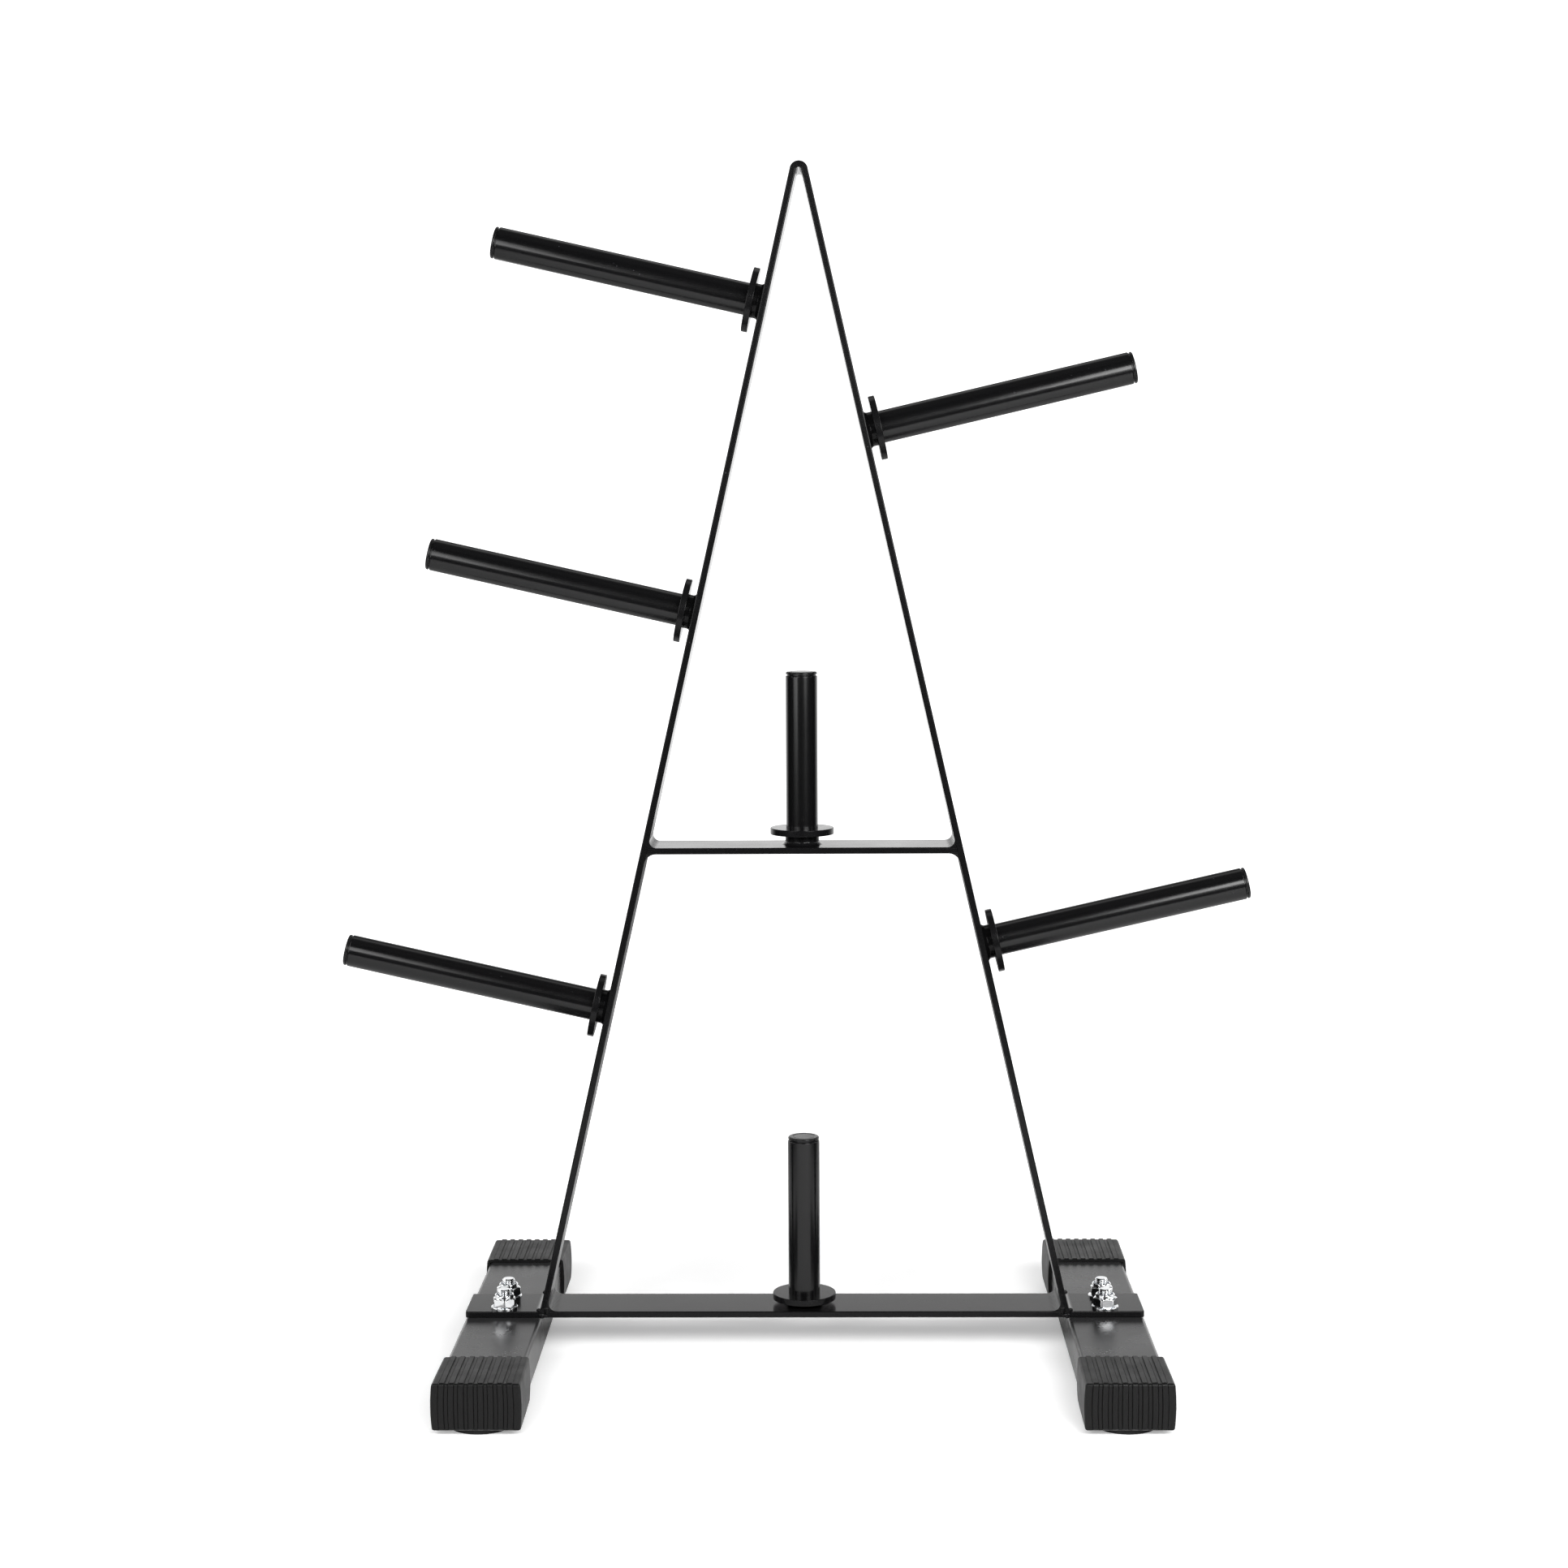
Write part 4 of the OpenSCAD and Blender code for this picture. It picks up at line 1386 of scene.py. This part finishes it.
@dataclass
class Studio:
    """White floor, white backdrop, softboxes in front and at the sides, and the camera.

    Attributes:
        lens: The camera's focal length in millimetres.
        eye: The camera's place.
        yaw: Its turn from +Y, to the right, in degrees.
        pitch: Its tilt below the horizon, in degrees.
        roll: Its roll, in degrees.
        backdrop: Brightness of the white behind the rack, as glossy surfaces show it.
        front: Brightness of the dim room in front of it.
        ceiling: Brightness of the ceiling.
        sheet: The floor sheet's lowest and highest X, then Y.
    """

    lens: float = 61.8
    eye: tuple = (0.020, -2.095, 0.6735)
    yaw: float = -0.93
    pitch: float = 5.85
    roll: float = -0.32
    backdrop: float = 1.65
    front: float = 0.015
    ceiling: float = 0.10
    sheet: tuple = (-0.65, 0.65, -1.15, 3.0)

    def camera(self) -> None:
        """Adds the camera."""
        data = bpy.data.cameras.new("camera")
        data.lens = self.lens
        data.sensor_width = 36
        data.clip_end = 100
        camera = bpy.data.objects.new("camera", data)
        level = Euler((math.radians(90 - self.pitch), 0, math.radians(-self.yaw))).to_matrix()
        turned_level = level @ Matrix.Rotation(math.radians(self.roll), 3, "Z")
        camera.matrix_world = Matrix.Translation(self.eye) @ turned_level.to_4x4()
        bpy.context.scene.collection.objects.link(camera)
        bpy.context.scene.camera = camera

    def room(self) -> None:
        """The room's light: white for the lens and behind the rack, dim above and in front."""
        world = bpy.data.worlds.new("studio")
        bpy.context.scene.world = world
        world.use_nodes = True
        nodes, links = world.node_tree.nodes, world.node_tree.links
        background = nodes["Background"]
        direction = nodes.new("ShaderNodeTexCoord").outputs["Generated"]
        split = nodes.new("ShaderNodeSeparateXYZ")
        links.new(direction, split.inputs["Vector"])

        def ramp(value: object, start: float, end: float, low: float, high: float) -> object:
            """Smooth ramp of one coordinate."""
            node = nodes.new("ShaderNodeMapRange")
            node.interpolation_type = "SMOOTHSTEP"
            for key, number in zip(("From Min", "From Max", "To Min", "To Max"), (start, end, low, high)):
                node.inputs[key].default_value = number
            links.new(value, node.inputs["Value"])
            return node.outputs["Result"]

        def combine(operation: str, first: object, second: object) -> object:
            """Arithmetic on two sockets."""
            node = nodes.new("ShaderNodeMath")
            node.operation = operation
            links.new(first, node.inputs[0])
            links.new(second, node.inputs[1])
            return node.outputs["Value"]

        behind = ramp(split.outputs["Y"], 0.30, 0.80, 0.0, self.backdrop)
        low_part = ramp(split.outputs["Z"], 0.05, 0.56, 1.0, 0.05)
        lit = combine("MULTIPLY", behind, low_part)
        room = ramp(split.outputs["Z"], 0.80, 0.95, self.front, self.ceiling)
        seen = nodes.new("ShaderNodeLightPath").outputs["Is Camera Ray"]
        total = combine("MAXIMUM", combine("MAXIMUM", lit, room), seen)
        links.new(total, background.inputs["Strength"])
        background.inputs["Color"].default_value = (1, 1, 1, 1)

    def floor(self) -> None:
        """Sheet of white paper with a painted glow: it emits light that only camera rays see, more with the
        distance from the rack, so the lens sees it overexposed.
        """
        x0, x1, y0, y1 = self.sheet
        mesh = bpy.data.meshes.new("studio_floor")
        mesh.from_pydata([(x0, y0, 0), (x1, y0, 0), (x1, y1, 0), (x0, y1, 0)], [], [(0, 1, 2, 3)])
        floor = bpy.data.objects.new("studio_floor", mesh)
        bpy.context.scene.collection.objects.link(floor)
        sketch = ShaderSketch("white_studio_floor")
        distance = sketch.tree.nodes.new("ShaderNodeVectorMath")
        distance.operation = "LENGTH"
        sketch.tree.links.new(sketch.place, distance.inputs[0])
        # Painted glow: the floor emits light that only camera rays see. It is weakest near the rack, so the
        # shadows there stay, and strongest from about 1 m away, where the floor turns white.
        glow = sketch.between(distance.outputs["Value"], 0.30, 1.1, 0.25, 1.0)
        painted_glow = sketch.tree.nodes.new("ShaderNodeMath")
        painted_glow.operation = "MULTIPLY"
        sketch.tree.links.new(glow, painted_glow.inputs[0])
        seen = sketch.tree.nodes.new("ShaderNodeLightPath").outputs["Is Camera Ray"]
        sketch.tree.links.new(seen, painted_glow.inputs[1])
        sketch.surface.inputs["Emission Color"].default_value = (1, 1, 1, 1)
        sketch.tree.links.new(painted_glow.outputs["Value"], sketch.surface.inputs["Emission Strength"])
        sketch.set(Specular_IOR_Level=0.0)
        paper = sketch.blend(sketch.noise(60 * MM), (0.84, 0.84, 0.84), (0.86, 0.86, 0.86))
        mesh.materials.append(sketch.finish(paper, sketch.between(sketch.noise(90 * MM), 0.8, 0.9)))

    def build(self) -> None:
        """Builds the studio."""
        self.camera()
        self.room()
        self.floor()
        back, down = (0, 1, 0), (0, 0, -1)
        for box in (
            Softbox("left_softbox", (-0.65, -1.3, 1.0), back, (0.6, 0.7), 6),
            Softbox("right_softbox", (0.85, -1.3, 0.95), back, (1.1, 0.55), 13),
            Softbox("left_low_softbox", (-1.35, -1.3, 0.55), back, (1.3, 0.3), 5),
            Softbox("right_low_softbox", (0.75, -1.3, 0.6), back, (0.5, 0.2), 7),
            Softbox("front_fill", (0.0, -2.1, 1.2), back, (2.0, 0.5), 24, mirrored=False),
            Softbox("top_fill", (0.1, 0.3, 2.4), down, (2.4, 2.4), 0.15, mirrored=False),
            Softbox("left_side_softbox", (-2.3, 0.2, 1.4), (1, 0, -0.3), (1.8, 1.1), 5, spreads=False),
            Softbox("right_side_softbox", (2.3, 0.2, 1.4), (-1, 0, -0.3), (1.8, 1.1), 5, spreads=False),
            Softbox("overhead_softbox", (0.0, 1.2, 2.3), down, (2.6, 1.0), 0.6),
        ):
            box.build()
        view = bpy.context.scene.view_settings
        view.view_transform = "Standard"
        view.look = "None"


# ---------------------------------------------------------------------- main


def main() -> None:
    """Builds the studio and every sub-assembly."""
    logging.basicConfig(level=logging.INFO, format="%(message)s")
    Studio().build()
    layout = Layout.from_frame()
    FrameBar(layout).build()
    Crossbars(layout).build()
    BarWelds(layout).build()
    for tag in ("top_left", "mid_left", "low_left", "top_right", "low_right"):
        PlatePeg.on_leg(tag).build()
    PlatePeg.post("mid_post", 8.1 * MM).build()
    PlatePeg.post("low_post", 3.8 * MM).build()
    for side in ("left", "right"):
        FootTube(side).build()
        for end in ("front", "rear"):
            cap = FootCap(f"{side}_{end}")
            cap.build()
            cap.pad()
    Fasteners(layout).build()


if __name__ == "__main__":
    main()
